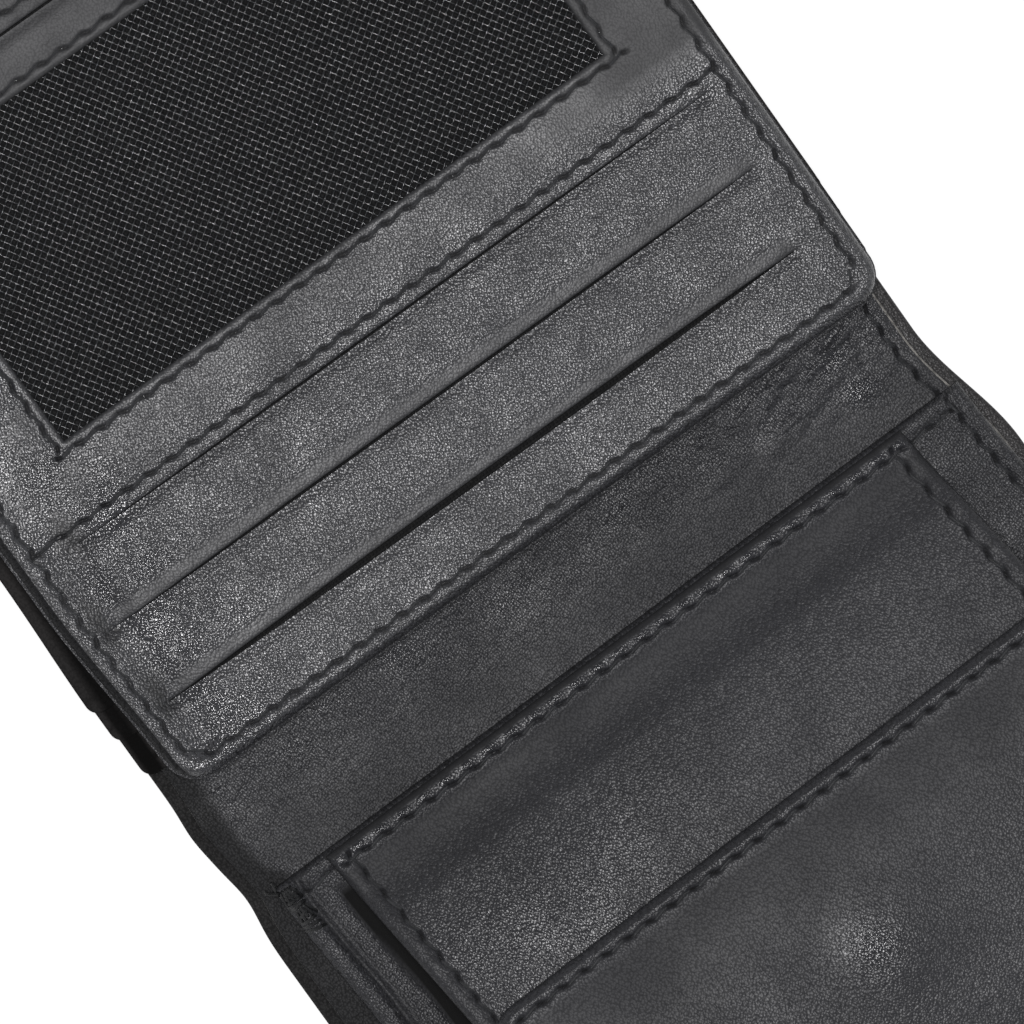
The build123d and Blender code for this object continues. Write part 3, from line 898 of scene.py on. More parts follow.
class WALLET_OT_linings(bpy.types.Operator):
    """Lays the cloth that lines the note compartment"""
    bl_idname = "wallet.linings"
    bl_label = "Note lining"

    def execute(self, context):
        left, right, near, _, bottom, top_level = span("lining_lower")
        far = span("lining_upper")[3]
        hem = 2.8
        outline = Outline(left + hem, right - hem, near + hem, far - hem, radius=2.0)

        def top(x, y):
            calm = ease(1.0, 6.0, outline.depth(x, y))
            return top_level - 0.05 + calm * 0.22 * (0.5 + waves(x, y, 11.0, 2.7, 2.0))

        stands_for = {"upper": ["lining_upper", "lining_spine"], "lower": ["lining_lower"]}
        for half, start, stop, bend in spine_halves(outline.near, outline.far, 11.3, 2.3):
            lines = ruled_lines(outline.left, outline.right, 1.6), ruled_lines(start, stop, 1.2)
            piece = make_panel(
                "note_lining_" + half, lines, outline, top, lambda x, y: bottom + 0.02,
                ["lining_cloth"], "lining_cloth", drift=body_drift, bend=bend,
                stands_for=stands_for[half])
        return {"FINISHED"}


# ---------------------------------------------------------------- inner leather
class WALLET_OT_inner_leather(bpy.types.Operator):
    """Builds the inner leather over the note compartment, creased where it crosses the spine"""
    bl_idname = "wallet.inner_leather"
    bl_label = "Inner leather"

    def execute(self, context):
        left, right, _, far, floor_level, top_level = span("middle_panel")
        near = span("inner_lower")[2]
        edge = right - 1.8
        sewn = 2.0          # width of the border that is sewn down
        seam = edge - 1.9
        seam_near, seam_far = -7.0, far - 2.2
        outline = Outline(left, edge, near, far, radius=4.0)
        rows = stitch_chain((seam, 0.0), (seam, seam_far))
        rows += stitch_chain((seam, seam_near), (seam, 0.0))

        def top(x, y):
            depth = outline.depth(x, y)
            sunk, pressed = pulls(rows, x, y)
            over_fold = ease(15.0, 6.0, y) * ease(-15.0, -6.0, y)
            hump = over_fold * 0.36 * bell(y + 0.8, 4.2) * ease(50.0, 30.0, abs(x))
            # Small and wide creases gather where the card flap's end rubs.
            near_flap = over_fold * ease(-5.0, 5.0, y)
            crease = folds(x + 1.3 * y, y, 1.1, 4.1, 3.0) * 0.20 * near_flap
            crease += folds(x - 2.2 * y, y, 3.6, 9.4, 2.2) * 0.26 * near_flap
            crease *= 1 + 0.8 * ease(8.0, 30.0, x)
            slump = over_fold * (0.24 * waves(x, y, 7.0, 6.6, 1.7) - 0.1)
            # Two spots near the right-hand seam are worn smooth.
            worn = sum(
                share * bell(math.hypot(x - spot_x, 1.4 * (y - spot_y)), size)
                for spot_x, spot_y, size, share in ((42.3, -1.3, 2.2, 1.0), (42.0, 3.8, 1.8, 0.6)))
            rise = hump + (1.5 * crease + slump) * ease(0.2, 3.0, depth) + 0.35 * worn
            bead = 0.10 * bell(depth - 1.05, 0.6)
            dull = ease(4.0, -4.0, y + 1.5 * waves(x, y, 12.0, 2.2))
            # Painted shade: the left border is darkened and dulled, with its grain kept.
            painted_shade_from = -46.5 + 1.7 * ease(-5.0, -8.0, y)
            painted_shade = 0.85 * ease(painted_shade_from, painted_shade_from - 2.3, x)
            pressed = max(pressed, 0.4 * dull) * (1 - painted_shade) - painted_shade
            level = top_level + rise + bead - 0.3 * roll(depth, 0.5) - sunk
            wrinkled = near_flap * max(0.0, 0.5 + 1.3 * waves(x, y, 3.0, 17.4, 1.6))
            return level, pressed * (1 - 0.8 * worn), wrinkled + 2.2 * worn

        def under(x, y):
            is_sewn = min(edge - x, far - y, y - near) < sewn
            return floor_level if is_sewn else top_level - 0.8

        stands_for = {"upper": ["middle_panel", "inner_spine"], "lower": ["inner_lower"]}
        bends = 9.9, 3.7
        creased = 15.8      # the creases reach this far from the spine's middle
        spine_lines = [place * 0.3 for place in range(-52, 53)]
        x_lines = ruled_lines(
            left, edge, 0.48, firm=(edge - sewn,), near=(0.1, 0.24, 0.45), rows=(seam,))
        for half, start, stop, bend in spine_halves(near, far, *bends):
            y_lines = {place for place in ruled_lines(start, stop, 1.1)
                       if abs(place) > creased or place == 0.0}
            y_lines |= {place for place in spine_lines if start < place < stop}
            make_panel(
                "inner_leather_" + half, (x_lines, sorted(y_lines)), outline, top, under,
                ["inner_leather", "cut_leather_edge"], "inner_leather", drift=body_drift,
                strip=(edge - 0.25, edge), cut_edges=True, bend=bend, stands_for=stands_for[half])
        for half, start, stop, bend in spine_halves(seam_near, seam_far, *bends):
            stitch_threads(
                "inner_thread_" + half, stitch_chain((seam, start), (seam, stop)), top,
                "inner_leather", bend=bend, drift=body_drift)
        return {"FINISHED"}


# ---------------------------------------------------------------- card pockets
class WALLET_OT_card_pockets(bpy.types.Operator):
    """Builds the three stepped card pockets and the sewn strip at their end"""
    bl_idname = "wallet.card_pockets"
    bl_label = "Card pockets"

    def execute(self, context):
        for layer, name in enumerate(("back", "middle", "front")):
            self.pocket(layer, name, mm(context.scene.wallet_leather.softness))
        self.hinge_strip()
        return {"FINISHED"}

    def pocket(self, layer, name, soft):
        """One pocket; each stands a little further out at the left than the one under it."""
        left, right, near, far, bottom, top_level = span("card_pocket_" + name)
        left -= 1.7 + 0.45 * layer
        outline = Outline(left, right, near, far, radius=1.6, far_round=False)
        press_line = near + 1.9

        def top(x, y):
            mouth = 0.16 * bell(y - near - 0.7, 0.5) - 0.14 * bell(y - press_line, 0.28)
            depth = outline.depth(x, y)
            calm = ease(0.5, 4.0, depth) * (1.0 if name == "front" else 0.3)
            level = top_level - 0.06 + min(mouth, 0.05) - 0.4 * roll(depth, 0.35)
            level += calm * soft * 0.6 * waves(x, y, 9.0, layer + 0.5)
            # Painted shadow: the pockets' left ends under the card flap's rim go black, lighter again
            # at the outermost edge.
            dark = 1.42 * ease(-49.0, -50.0, x) - 0.5 * ease(-51.5, -52.1, x)
            return level, max(bell(y - press_line, 0.4), dark), 0.0

        def drift(x, y):
            bulge = 0.5 * ease(40.0, 20.0, y) if x < 0 else 0.0
            return x - bulge * abs(x) / HALF_WIDTH, y

        lines = ruled_lines(left, right, 1.0), ruled_lines(near, far, 0.9, firm=(press_line,))
        make_panel(
            "pocket_leather_" + name, lines, outline, top, lambda x, y: bottom,
            ["pocket_leather", "outer_leather"], "inner_leather", drift=drift, cut_edges=True,
            body="card_half", stands_for=["card_pocket_" + name])

    def hinge_strip(self):
        """The strip that the flap's hinge is sewn to."""
        left, right, near, far, bottom, top_level = span("flap_hinge_strip")
        outline = Outline(left, right, near, far)
        seam = near + 2.4
        rows = stitch_chain((left + 1.5, seam), (right - 1.5, seam))

        def top(x, y):
            sunk, pressed = pulls(rows, x, y)
            return top_level - 0.3 * roll(outline.depth(x, y), 0.5) - sunk, pressed, 0.0

        lines = ruled_lines(left, right, 0.5), ruled_lines(near, far, 0.45, rows=(seam,))
        make_panel(
            "hinge_strip_leather", lines, outline, top, lambda x, y: bottom, ["inner_leather"],
            "inner_leather", rows=rows, body="card_half", stands_for=["flap_hinge_strip"])


# ---------------------------------------------------------------- card flap
class SlotMouth:
    """A card slot's mouth: it narrows towards its ends."""

    def __init__(self, left, right, middle, opening, cut):
        self.left, self.right, self.middle = left, right, middle
        self.opening, self.cut = opening, cut

    def gape(self, x):
        """How far the mouth stands open."""
        share = (2 * x - self.left - self.right) / (self.right - self.left)
        return self.opening * max(0.12, 1 - abs(share) ** 3.2)

    def narrow(self, x, y):
        """Draws the cut's two lips together."""
        off = y - self.middle
        half = self.cut / 2
        reach = 1.6
        if abs(off) > reach or not self.left - 2.0 < x < self.right + 2.0:
            return y
        lip = self.gape(x) / 2
        if abs(off) <= half:
            return self.middle + off * lip / half
        share = (abs(off) - half) / (reach - half)
        return self.middle + math.copysign(lip + share * (reach - lip), off)

    def opening_box(self):
        """Left, right, near and far of the cut."""
        return self.left, self.right, self.middle - self.cut / 2, self.middle + self.cut / 2

    def within(self, x):
        """1 along the mouth, falling to 0 beyond its ends."""
        return ease(-1.6, 0.64, x - self.left) * ease(-1.6, 0.64, self.right - x)


class FlapFront:
    """The shape of the card flap's front leather, shared by its two panels and its thread."""

    def __init__(self, context):
        flap = context.scene.wallet_flap
        left, right, near, self.seam, self.back_level, self.level = span("slot_panel")
        far = span("window_frame")[3]
        self.outline = Outline(left, right, near, far, radius=4.0, far_round=False)
        self.round, self.bead = mm(flap.rim_round), mm(flap.rim_bead)
        self.drop = mm(flap.field_drop)
        self.soft = mm(context.scene.wallet_leather.softness)
        self.step = mm(context.scene.wallet_stitching.pitch) / 8
        cut = 0.6       # width of a slot's cut before its lips are drawn together
        self.mouths = [
            SlotMouth(left + left_end, right - right_end, near + rise, opening, cut)
            for rise, left_end, right_end, opening in zip(
                mm(flap.slot_rises), mm(flap.slot_left), mm(flap.slot_right), mm(flap.slot_open))]
        border = mm(flap.id_slot_border)
        self.id_mouth = SlotMouth(
            left + border, right - border, far - mm(flap.id_slot_end), 0.3, cut)
        border = mm(flap.window_border)
        window = self.window = Outline(
            left + border, right - border, near + mm(flap.window_rise), far - mm(flap.window_end))
        inset = mm(context.scene.wallet_stitching.flap_inset)
        side, low, end = right - inset, near + inset, far - 1.2
        bevel_x, bevel_y = 2.2, 2.4
        self.side, self.low = side, low
        self.rows = stitch_chain(
            (-side, end), (-side, low + bevel_y), (-side + bevel_x, low),
            (side - bevel_x, low), (side, low + bevel_y), (side, end))
        self.rows += stitch_chain((-side, self.seam), (side, self.seam))
        self.out = 1.25     # from the window to the rows round it
        low_x, high_x = window.left - self.out, window.right + self.out
        low_y, high_y = window.near - self.out, window.far + self.out
        self.id_row = self.id_mouth.middle + 1.85
        for start, end in (
                ((high_x + 1.1, low_y), (low_x - 0.6, low_y)),
                ((low_x - 0.6, high_y), (high_x + 1.1, high_y)),
                ((low_x, low_y + 0.7), (low_x, high_y - 0.7)),
                ((high_x, high_y - 0.7), (high_x, low_y + 0.7)),
                ((-42.0, self.id_row), (42.0, self.id_row))):
            self.rows += stitch_chain(start, end)

    def lips(self, x, y):
        """Height that the slots' lips add, and how smooth the pressed band above them is."""
        rise = band = 0.0
        for number, mouth in enumerate(self.mouths + [self.id_mouth]):
            off = y - mouth.middle
            if abs(off) > 6.0:
                continue
            along = mouth.within(x)
            edge = abs(off) - mouth.gape(x) / 2
            if off > 0:
                lip = -0.34 * roll(edge, 0.65)
                if number < 2:      # the two slots nearest the free edge have a pressed band
                    lip -= 0.10 * ease(2.5, 1.9, off) + 0.06 * max(0.0, 2.2 - off)
                    band = max(band, along * ease(2.7, 1.2, off))
            else:
                lip = -0.55 * bell(edge, 1.1)
            rise += along * lip
            for end in (mouth.left, mouth.right):
                rise -= 0.20 * bell(math.hypot(x - end, 1.5 * off), 1.6)
        return rise, band

    def top(self, x, y):
        """Height of the front's surface, how far it is pressed, with painted shade along its left edge
        and by its slots' ends, and how it shines.
        """
        depth = self.outline.depth(x, y)
        window_gap = -self.window.depth(x, y)
        sunk, pressed = pulls(self.rows, x, y)
        lips, band = self.lips(x, y)
        field = ease(1.7, 3.6, depth)
        level = self.level - 0.1 - self.drop * field
        level -= 1.15 * roll(depth, self.round)
        level += (self.bead + 0.06 * waves(x, y, 3.0, 7.7)) * bell(depth - 1.25, 0.7)
        level -= 0.55 * roll(window_gap, 0.55)
        level += 0.14 * bell(window_gap - 0.75, 0.5)
        level += 0.10 * ease(self.seam, self.window.near - 1.0, y)
        cushion = 0.16 * ease(1.0, 3.5, window_gap) * field
        # The left side is softer and more polished, with a shallow valley along it.
        by_left = bell(x - self.outline.left - 9.0, 7.0)
        swell = self.soft * (waves(x, y, 8.0, 1.9, 1.5) + 0.5 * waves(x, y, 3.2, 3.7))
        swell *= 1 + 1.6 * by_left
        level += field * (lips + swell) + cushion
        level -= 0.7 * field * bell(x - self.outline.left - 5.2, 1.7) * ease(44.0, 36.0, y)
        shine = by_left * max(0.0, 0.95 + 1.6 * waves(x, y, 5.0, 15.2))
        # The grain is calmer round the window, and pressed flat along the window's rim.
        frame_share = ease(self.seam, self.seam + 5.0, y)
        beyond = ease(self.window.far - 3.0, self.window.far, y)
        calm = frame_share * min(1.0, 0.3 + 0.7 * ease(15.0, 40.0, x) + 0.7 * beyond)
        trim = 0.6 * ease(1.1, 0.8, window_gap) * (window_gap > 0)
        smooth = max(pressed, 0.75 * band, calm, trim)
        # The left edge gets painted shade, and so does the dimple by each slot's left end, which has a
        # shiny spot beside it.
        dark = 0.42 * ease(1.5, 0.8, x - self.outline.left)
        for mouth in self.mouths:
            off_x, off_y = x - mouth.left, (y - mouth.middle - 1.6) / 3.0
            dark = max(dark, 0.8 * field * bell(math.hypot((off_x + 0.6) / 1.6, off_y), 1.0))
            shine += 0.9 * field * bell(math.hypot((off_x - 2.0) / 0.9, off_y - 0.5), 1.0)
        return level - sunk, smooth * (1 - dark) - dark, shine * (1 - band)

    def under(self, x, y):
        """Height of the front's underside: turned down to the back along the edge."""
        depth = self.outline.depth(x, y)
        low = self.back_level + 0.45 * roll(depth, 0.7)
        return low + (self.level - 1.05 - self.drop - low) * ease(2.7, 3.3, depth)


class WALLET_OT_card_flap(bpy.types.Operator):
    """Builds the card flap: its back, the slot panel, the window frame and their thread"""
    bl_idname = "wallet.card_flap"
    bl_label = "Card flap"

    def execute(self, context):
        front = FlapFront(context)
        outline, window, out = front.outline, front.window, front.out
        self.front_panel(
            "slot_panel", front, (outline.near, front.seam),
            ((-front.side, front.side), (front.low, front.seam)), front.mouths)
        self.front_panel(
            "window_frame", front, (front.seam, outline.far),
            ((-front.side, window.left - out, window.right + out, front.side),
             (front.seam, window.near - out, window.far + out, front.id_row)),
            [front.id_mouth], [(window.left, window.right, window.near, window.far)])
        stitch_threads(
            "flap_thread", front.rows, front.top, "flap_leather", body="card_flap",
            drift=flap_drift)
        self.back()
        return {"FINISHED"}

    def front_panel(self, name, front, ends, rows, mouths, windows=()):
        """One of the two panels of the flap's front, between two places along Y."""
        outline = front.outline
        openings = [*windows, *(mouth.opening_box() for mouth in mouths)]
        x_firm = [place for box in openings for place in box[:2]]
        y_firm = [place for box in openings for place in box[2:]]
        # A strip along the flap's left edge takes the darker rim finish: painted shade on the rim's
        # outer side.
        rim = 0.85
        lines = (
            ruled_lines(outline.left, outline.right, front.step, x_firm, EDGE_LINES, rows[0]),
            ruled_lines(*ends, front.step, y_firm, rows=rows[1]))
        make_panel(
            name + "_leather", lines, outline, front.top, front.under,
            ["flap_leather", "rim_leather"], "flap_leather", drift=flap_drift, mouths=mouths,
            openings=openings, strip=(outline.left, outline.left + rim), body="card_flap",
            stands_for=[name])

    def back(self):
        """The raw-cut leather at the flap's back."""
        left, right, near, far, bottom, top_level = span("flap_back")
        outline = Outline(left, right, near, far, radius=4.3, far_round=False)

        def top(x, y):
            return top_level - 0.02 - 0.3 * roll(outline.depth(x, y), 0.15)

        def under(x, y):
            depth = outline.depth(x, y)
            swell = 0.08 * (1 + waves(x, y, 10.0, 12.1)) * ease(1.0, 8.0, depth)
            return bottom + 0.3 * roll(depth, 0.2) + swell

        lines = [ruled_lines(start, stop, 0.8, near=(0.05, 0.15, 0.3))
                 for start, stop in ((left, right), (near, far))]
        make_panel(
            "flap_back_leather", lines, outline, top, under, ["inner_leather", "cut_leather_edge"],
            "flap_leather", drift=flap_drift, cut_edges=True, body="card_flap",
            stands_for=["flap_back"])


class WALLET_OT_slot_linings(bpy.types.Operator):
    """Lays the cloth that lines the card slots and the identity pocket"""
    bl_idname = "wallet.slot_linings"
    bl_label = "Slot linings"

    def execute(self, context):
        names = ("slot_lining_lower", "slot_lining_middle", "slot_lining_upper",
                 "id_pocket_lining")
        for layer, name in enumerate(names):
            self.lining(layer, name)
        return {"FINISHED"}

    def lining(self, layer, name):
        """One sheet of cloth, a little uneven."""
        left, right, near, far, bottom, top_level = span(name)
        outline = Outline(left, right, near, far)

        def swell(x, y):
            return 0.05 * waves(x, y, 7.0, layer + 20.0, 2.0) * ease(0.5, 5.0, outline.depth(x, y))

        lines = (
            ruled_lines(left, right, 1.8, near=(0.3,)), ruled_lines(near, far, 1.5, near=(0.3,)))
        piece = make_panel(
            name + "_cloth", lines, outline, lambda x, y: top_level - 0.06 + swell(x, y),
            lambda x, y: bottom + 0.01 + max(0.0, swell(x, y)), ["slot_cloth"], "lining_cloth",
            body="card_flap", stands_for=[name])


class WALLET_OT_mesh_window(bpy.types.Operator):
    """Weaves the mesh behind the window from strands that pass over and under each other"""
    bl_idname = "wallet.mesh_window"
    bl_label = "Mesh window"

    def execute(self, context):
        settings = context.scene.wallet_mesh
        window = FlapFront(context).window
        hidden = 1.6        # mesh behind the window's rim, on each side
        half = (window.half[0] + hidden, window.half[1] + hidden)
        turns = (settings.turn, settings.turn + settings.square)
        pitches = [mm(settings.pitch) * stretch for stretch in (0.974, 1.022)]
        bm = bmesh.new()
        for family in (0, 1):
            turn = turns[family]
            reach = half[0] * abs(math.sin(turn)) + half[1] * abs(math.cos(turn))
            count = int(reach / pitches[family])
            for number in range(-count, count + 1):
                self.strand(bm, family, number, turns, pitches, half, window.middle,
                            mm(settings.strand) / 2)
        piece = finish_piece(
            bm, "window_mesh_cloth", ["mesh_strand"], "window_mesh", body="card_flap",
            stands_for=["mesh_window"], crease=180)
        return {"FINISHED"}

    def strand(self, bm, family, number, turns, pitches, half, middle, radius):
        """One strand of a family, which passes over and under the strands of the other."""
        turn, pitch = turns[family], pitches[family]
        across_x, across_y = -math.sin(turn), math.cos(turn)
        along_x, along_y = math.cos(turn), math.sin(turn)
        other_turn, other_pitch = turns[1 - family], pitches[1 - family]
        other_x, other_y = -math.sin(other_turn), math.cos(other_turn)
        off = number * pitch
        ends = []
        for reach, step, side in ((half[0], along_x, across_x), (half[1], along_y, across_y)):
            ends.append(sorted(((-reach - off * side) / step, (reach - off * side) / step)))
        start = max(ends[0][0], ends[1][0])
        stop = min(ends[0][1], ends[1][1])
        if stop - start < 3 * pitch:
            return
        first = len(bm.verts)
        cuts = max(2, round((stop - start) / (pitch / 2)))
        bmesh.ops.create_cone(
            bm, segments=4, cap_ends=True, radius1=radius, radius2=radius, depth=1.0)
        bm.verts.ensure_lookup_table()
        long_edges = {edge for vert in bm.verts[first:] for edge in vert.link_edges
                      if abs(edge.verts[0].co.z - edge.verts[1].co.z) > 0.5}
        bmesh.ops.subdivide_edges(bm, edges=list(long_edges), cuts=cuts - 1, use_grid_fill=True)
        bm.verts.ensure_lookup_table()
        _, _, _, _, bottom, top_level = span("mesh_window")
        level = (bottom + top_level) / 2
        sway = radius * (1.2, 0.65)[family]
        for vert in bm.verts[first:]:
            along = start + (stop - start) * (vert.co.z + 0.5)
            wobble = 0.07 * noise.noise(Vector((along * 0.25, number * 0.37 + family * 50, 0.0)))
            side = off + vert.co.x + wobble
            x = along * along_x + off * across_x
            y = along * along_y + off * across_y
            crossing = (x * other_x + y * other_y) / other_pitch
            over = (1 - 2 * family) * math.cos(math.pi * (crossing + number))
            vert.co = (
                middle[0] + along * along_x + side * across_x,
                middle[1] + along * along_y + side * across_y,
                level + vert.co.y + sway * over)


# ---------------------------------------------------------------- coin pouch
class PouchShape:
    """Sizes and levels of the coin pouch, shared by its pieces."""
    FRONT = 1.0     # thickness of the pouch's front
    LINING = 0.5    # thickness of the coin flap's lining

    def __init__(self, context):
        self.left, self.right, self.far, self.edge, self.base_low, self.base_top = span("coin_base")
        self.front_left, self.front_right, self.mouth, self.front_edge, _, _ = span("coin_front")
        self.depth = mm(context.scene.wallet_pouch.depth)
        self.bump = mm(context.scene.wallet_pouch.bump)
        self.rise_start = self.front_edge - 4.1
        snap = span("snap_cap")
        self.snap_x = (snap[0] + snap[1]) / 2
        self.snap_y = (snap[2] + snap[3]) / 2

    def rise(self, y):
        """Height of the pouch front's underside above the base."""
        share = min(1.0, max(0.0, (self.rise_start - y) / (self.rise_start - self.mouth)))
        soft = ease(0.0, 0.10, share)
        return self.depth * (1 - (1 - share) ** 3) * (0.55 + 0.45 * soft)

    def snap_gap(self, x, y):
        """Distance from the snap's middle, before the pouch leans."""
        return math.hypot(x - self.snap_x + pouch_lean(self.snap_y), y - self.snap_y)

    def front_under(self, x, y):
        """Underside of the pouch's front."""
        return self.base_top + self.rise(y) - 0.32 * bell(self.snap_gap(x, y), 6.5)

    def flap_under(self, y):
        """Underside of the coin flap: over the front, past the mouth and down to its hinge."""
        flap_edge = self.mouth + 40.9
        crest = self.mouth + 9.4
        hinge = self.mouth - 15.4
        if y > crest:
            lift = 0.35 + 0.85 * ease(flap_edge, flap_edge - 9.5, y)
            return self.base_top + self.rise(y) + self.FRONT + lift
        top = self.base_top + self.depth + self.FRONT + 1.15
        share = min(1.0, max(0.0, (crest - y) / (crest - hinge)))
        fall = top - (self.base_top + 1.5)
        curve = share * share * (0.35 + 1.35 * share - 0.70 * share * share)
        return top - 0.03 - fall * curve


class WALLET_OT_coin_base(bpy.types.Operator):
    """Builds the panel under the coin pouch, with its turned edge, side seams and bar tack"""
    bl_idname = "wallet.coin_base"
    bl_label = "Coin base"

    def execute(self, context):
        shape = PouchShape(context)
        left, right, far, edge = shape.left, shape.right + 1.7, shape.far, shape.edge
        outline = Outline(left, right, far, edge, radius=4.0, far_round=False)
        seam_y, side, end_y = edge - 2.4, right - 2.3, far + 1.9
        rows = stitch_chain((shape.front_left - 0.6, seam_y), (left + 3.0, seam_y))
        rows += stitch_chain((side, seam_y), (shape.front_right + 0.6, seam_y))
        rows += stitch_chain((side, far + 3.0), (side, edge - 0.6))
        rows += stitch_chain((left + 4.0, end_y), (side - 1.0, end_y))
        soft = mm(context.scene.wallet_leather.softness)
        groove_at, ridge_at = 2.8, 3.6      # the fold at the left, from the panel's edge

        def top(x, y):
            depth = outline.depth(x, y)
            sunk, pressed = pulls(rows, x, y)
            field = ease(1.4, 3.4, depth)
            bead = 0.16 * bell(depth - 0.95, 0.55) + 0.05 * waves(x, y, 2.5, 31.0)
            by_left = x - left + 0.25 * waves(x, y, 6.0, 35.0)
            ridge = 0.30 * bell(by_left - 1.7, 0.45) + 0.24 * bell(by_left - ridge_at, 0.35)
            ridge -= 0.28 * bell(by_left - groove_at, 0.35)
            level = shape.base_top - 0.12 - 0.28 * field + bead * (1 - field) + ridge
            level -= 0.9 * roll(depth, 0.95)
            level += field * soft * 1.2 * waves(x, y, 8.0, 33.0)
            # Beside the pouch's left edge the panel dips under the gusset, and the dip is painted
            # black as shadow.
            gap = front_drift(shape.front_left, y)[0] - base_drift(x, y)[0]
            shadowed_dip = ease(1.75, 1.25, gap) * ease(-3.0, -2.0, gap) * ease(seam_y - 0.8, seam_y - 3.5, y)
            folded = 0.5 * bell(by_left - ridge_at, 0.5) + 0.6 * bell(by_left - groove_at, 0.3)
            pressed = max(pressed, folded, 1.6 * shadowed_dip)
            return level - sunk - 0.7 * shadowed_dip, pressed, 0.0

        def under(x, y):
            return shape.base_low + 0.4 * roll(outline.depth(x, y), 0.6)

        lines = (
            ruled_lines(left, right, 0.62, rows=(left + groove_at, side), near=EDGE_LINES),
            ruled_lines(far, edge, 0.42, rows=(seam_y,), near=EDGE_LINES))
        make_panel(
            "coin_base_leather", lines, outline, top, under, ["inner_leather"], "inner_leather",
            drift=base_drift, rows=rows, body="coin_half", stands_for=["coin_base"])

        def tack_level(x, y):
            level = top(max(x, left + 0.25), min(y, edge - 0.4))[0] + 0.15
            return level + 0.4 * bell(x - left - 1.2, 1.0) + 0.3 * waves(x, y, 1.5, 40.0)

        stitch_threads(
            "bar_tack_thread", self.bar_tack(left, edge), tack_level, "inner_leather",
            body="coin_half", drift=base_drift, jitter=0.7, thick_by=1.3, finish="waxed_thread")
        return {"FINISHED"}

    def bar_tack(self, left, edge):
        """A bundle of stitches over the panel's corner, tied across twice, with two cut ends."""
        stitch = 3.0
        rows = []
        for place in range(5):
            stray = waves(place * 3.7, 0.0, 1.0, 36.0)
            x = left + 0.2 + place * 0.42
            rows.append(StitchRow(
                (x, edge - 0.3), (x + 0.5 + 0.3 * stray, edge - 5.4 - stray), stitch,
                0.12 * (place - 2)))
        for place in range(9):
            y = edge - 0.9 - (place % 5) * 0.5 - (3.4 if place > 4 else 0.0)
            stray = waves(place * 2.3, 5.0, 1.0, 37.0)
            x = left - 0.1 + 0.3 * stray
            rows.append(StitchRow((x, y), (x + 2.6 - stray, y - 0.7 + 1.6 * stray), stitch, 0.2))
        rows.append(StitchRow((left + 0.1, edge - 1.2), (left - 0.9, edge + 0.7), stitch, 0.4))
        rows.append(StitchRow((left + 0.5, edge - 0.6), (left - 0.1, edge + 1.0), stitch, -0.5))
        return rows


class WALLET_OT_pouch_front(bpy.types.Operator):
    """Builds the coin pouch's front and its thread"""
    bl_idname = "wallet.pouch_front"
    bl_label = "Pouch front"

    def execute(self, context):
        shape = PouchShape(context)
        left, right, near, far = (
            shape.front_left, shape.front_right, shape.mouth, shape.front_edge)
        outline = Outline(left, right, near, far, radius=3.0, far_round=False)
        seam_y, mouth_y = far - 2.0, near + 2.2
        seam_left, seam_right = left + 2.3, right - 2.3
        seam = stitch_chain((right - 1.0, seam_y), (left + 1.0, seam_y))
        rows = seam + stitch_chain((seam_left, seam_y + 0.9), (seam_left, near + 3.5))
        rows += stitch_chain((seam_right, near + 3.5), (seam_right, seam_y + 0.9))
        rows += stitch_chain((left + 4.0, mouth_y), (right - 4.0, mouth_y))
        soft = mm(context.scene.wallet_leather.softness)

        def top(x, y):
            depth = outline.depth(x, y)
            sunk, pressed = pulls(rows, x, y)
            field = ease(1.6, 3.6, depth)
            level = shape.front_under(x, y) + shape.FRONT - 0.05 - 0.22 * field
            inside = far - y        # distance from the sewn edge at the fold
            by_fold = bell(inside - 1.0, 1.3)
            level += (0.16 + 0.05 * waves(x, y, 2.6, 41.0)) * bell(depth - 1.0, 0.6) * (1 - by_fold)
            level -= 0.75 * roll(depth, 0.9)
            level += field * soft * 0.8 * waves(x, y, 9.0, 43.0)
            # The rim at the fold slopes to its edge, with a lump and a shine by each needle hole.
            level -= 0.16 * max(0.0, 1.95 - inside) * by_fold
            lump = max(row.pull(x, y)[2] for row in seam)
            level += 0.10 * lump
            bead = ease(0.6, 0.9, inside) * ease(2.2, 1.9, inside)
            flat = ease(0.9, 0.7, inside) + 0.6 * ease(2.4, 3.0, inside) * ease(9.0, 4.0, inside)
            shine = bead * (0.7 + 2.0 * lump)
            shine += 1.3 * field * ease(5.0, -25.0, x) * ease(far - 6.0, far - 17.0, y)
            pressed = max(pressed * (1 - 0.8 * bead), flat)
            return level - sunk, pressed, shine

        def under(x, y):
            return shape.front_under(x, y) + 0.25 * roll(outline.depth(x, y), 0.5)

        step = mm(context.scene.wallet_stitching.pitch) / 8 * 1.15
        lines = (
            ruled_lines(left, right, step, rows=(seam_left, seam_right), near=EDGE_LINES),
            ruled_lines(near, far, step, rows=(seam_y,), near=EDGE_LINES))
        make_panel(
            "pouch_front_leather", lines, outline, top, under, ["pouch_leather"], "inner_leather",
            drift=front_drift, rows=rows, body="coin_half", stands_for=["coin_front"])
        return {"FINISHED"}


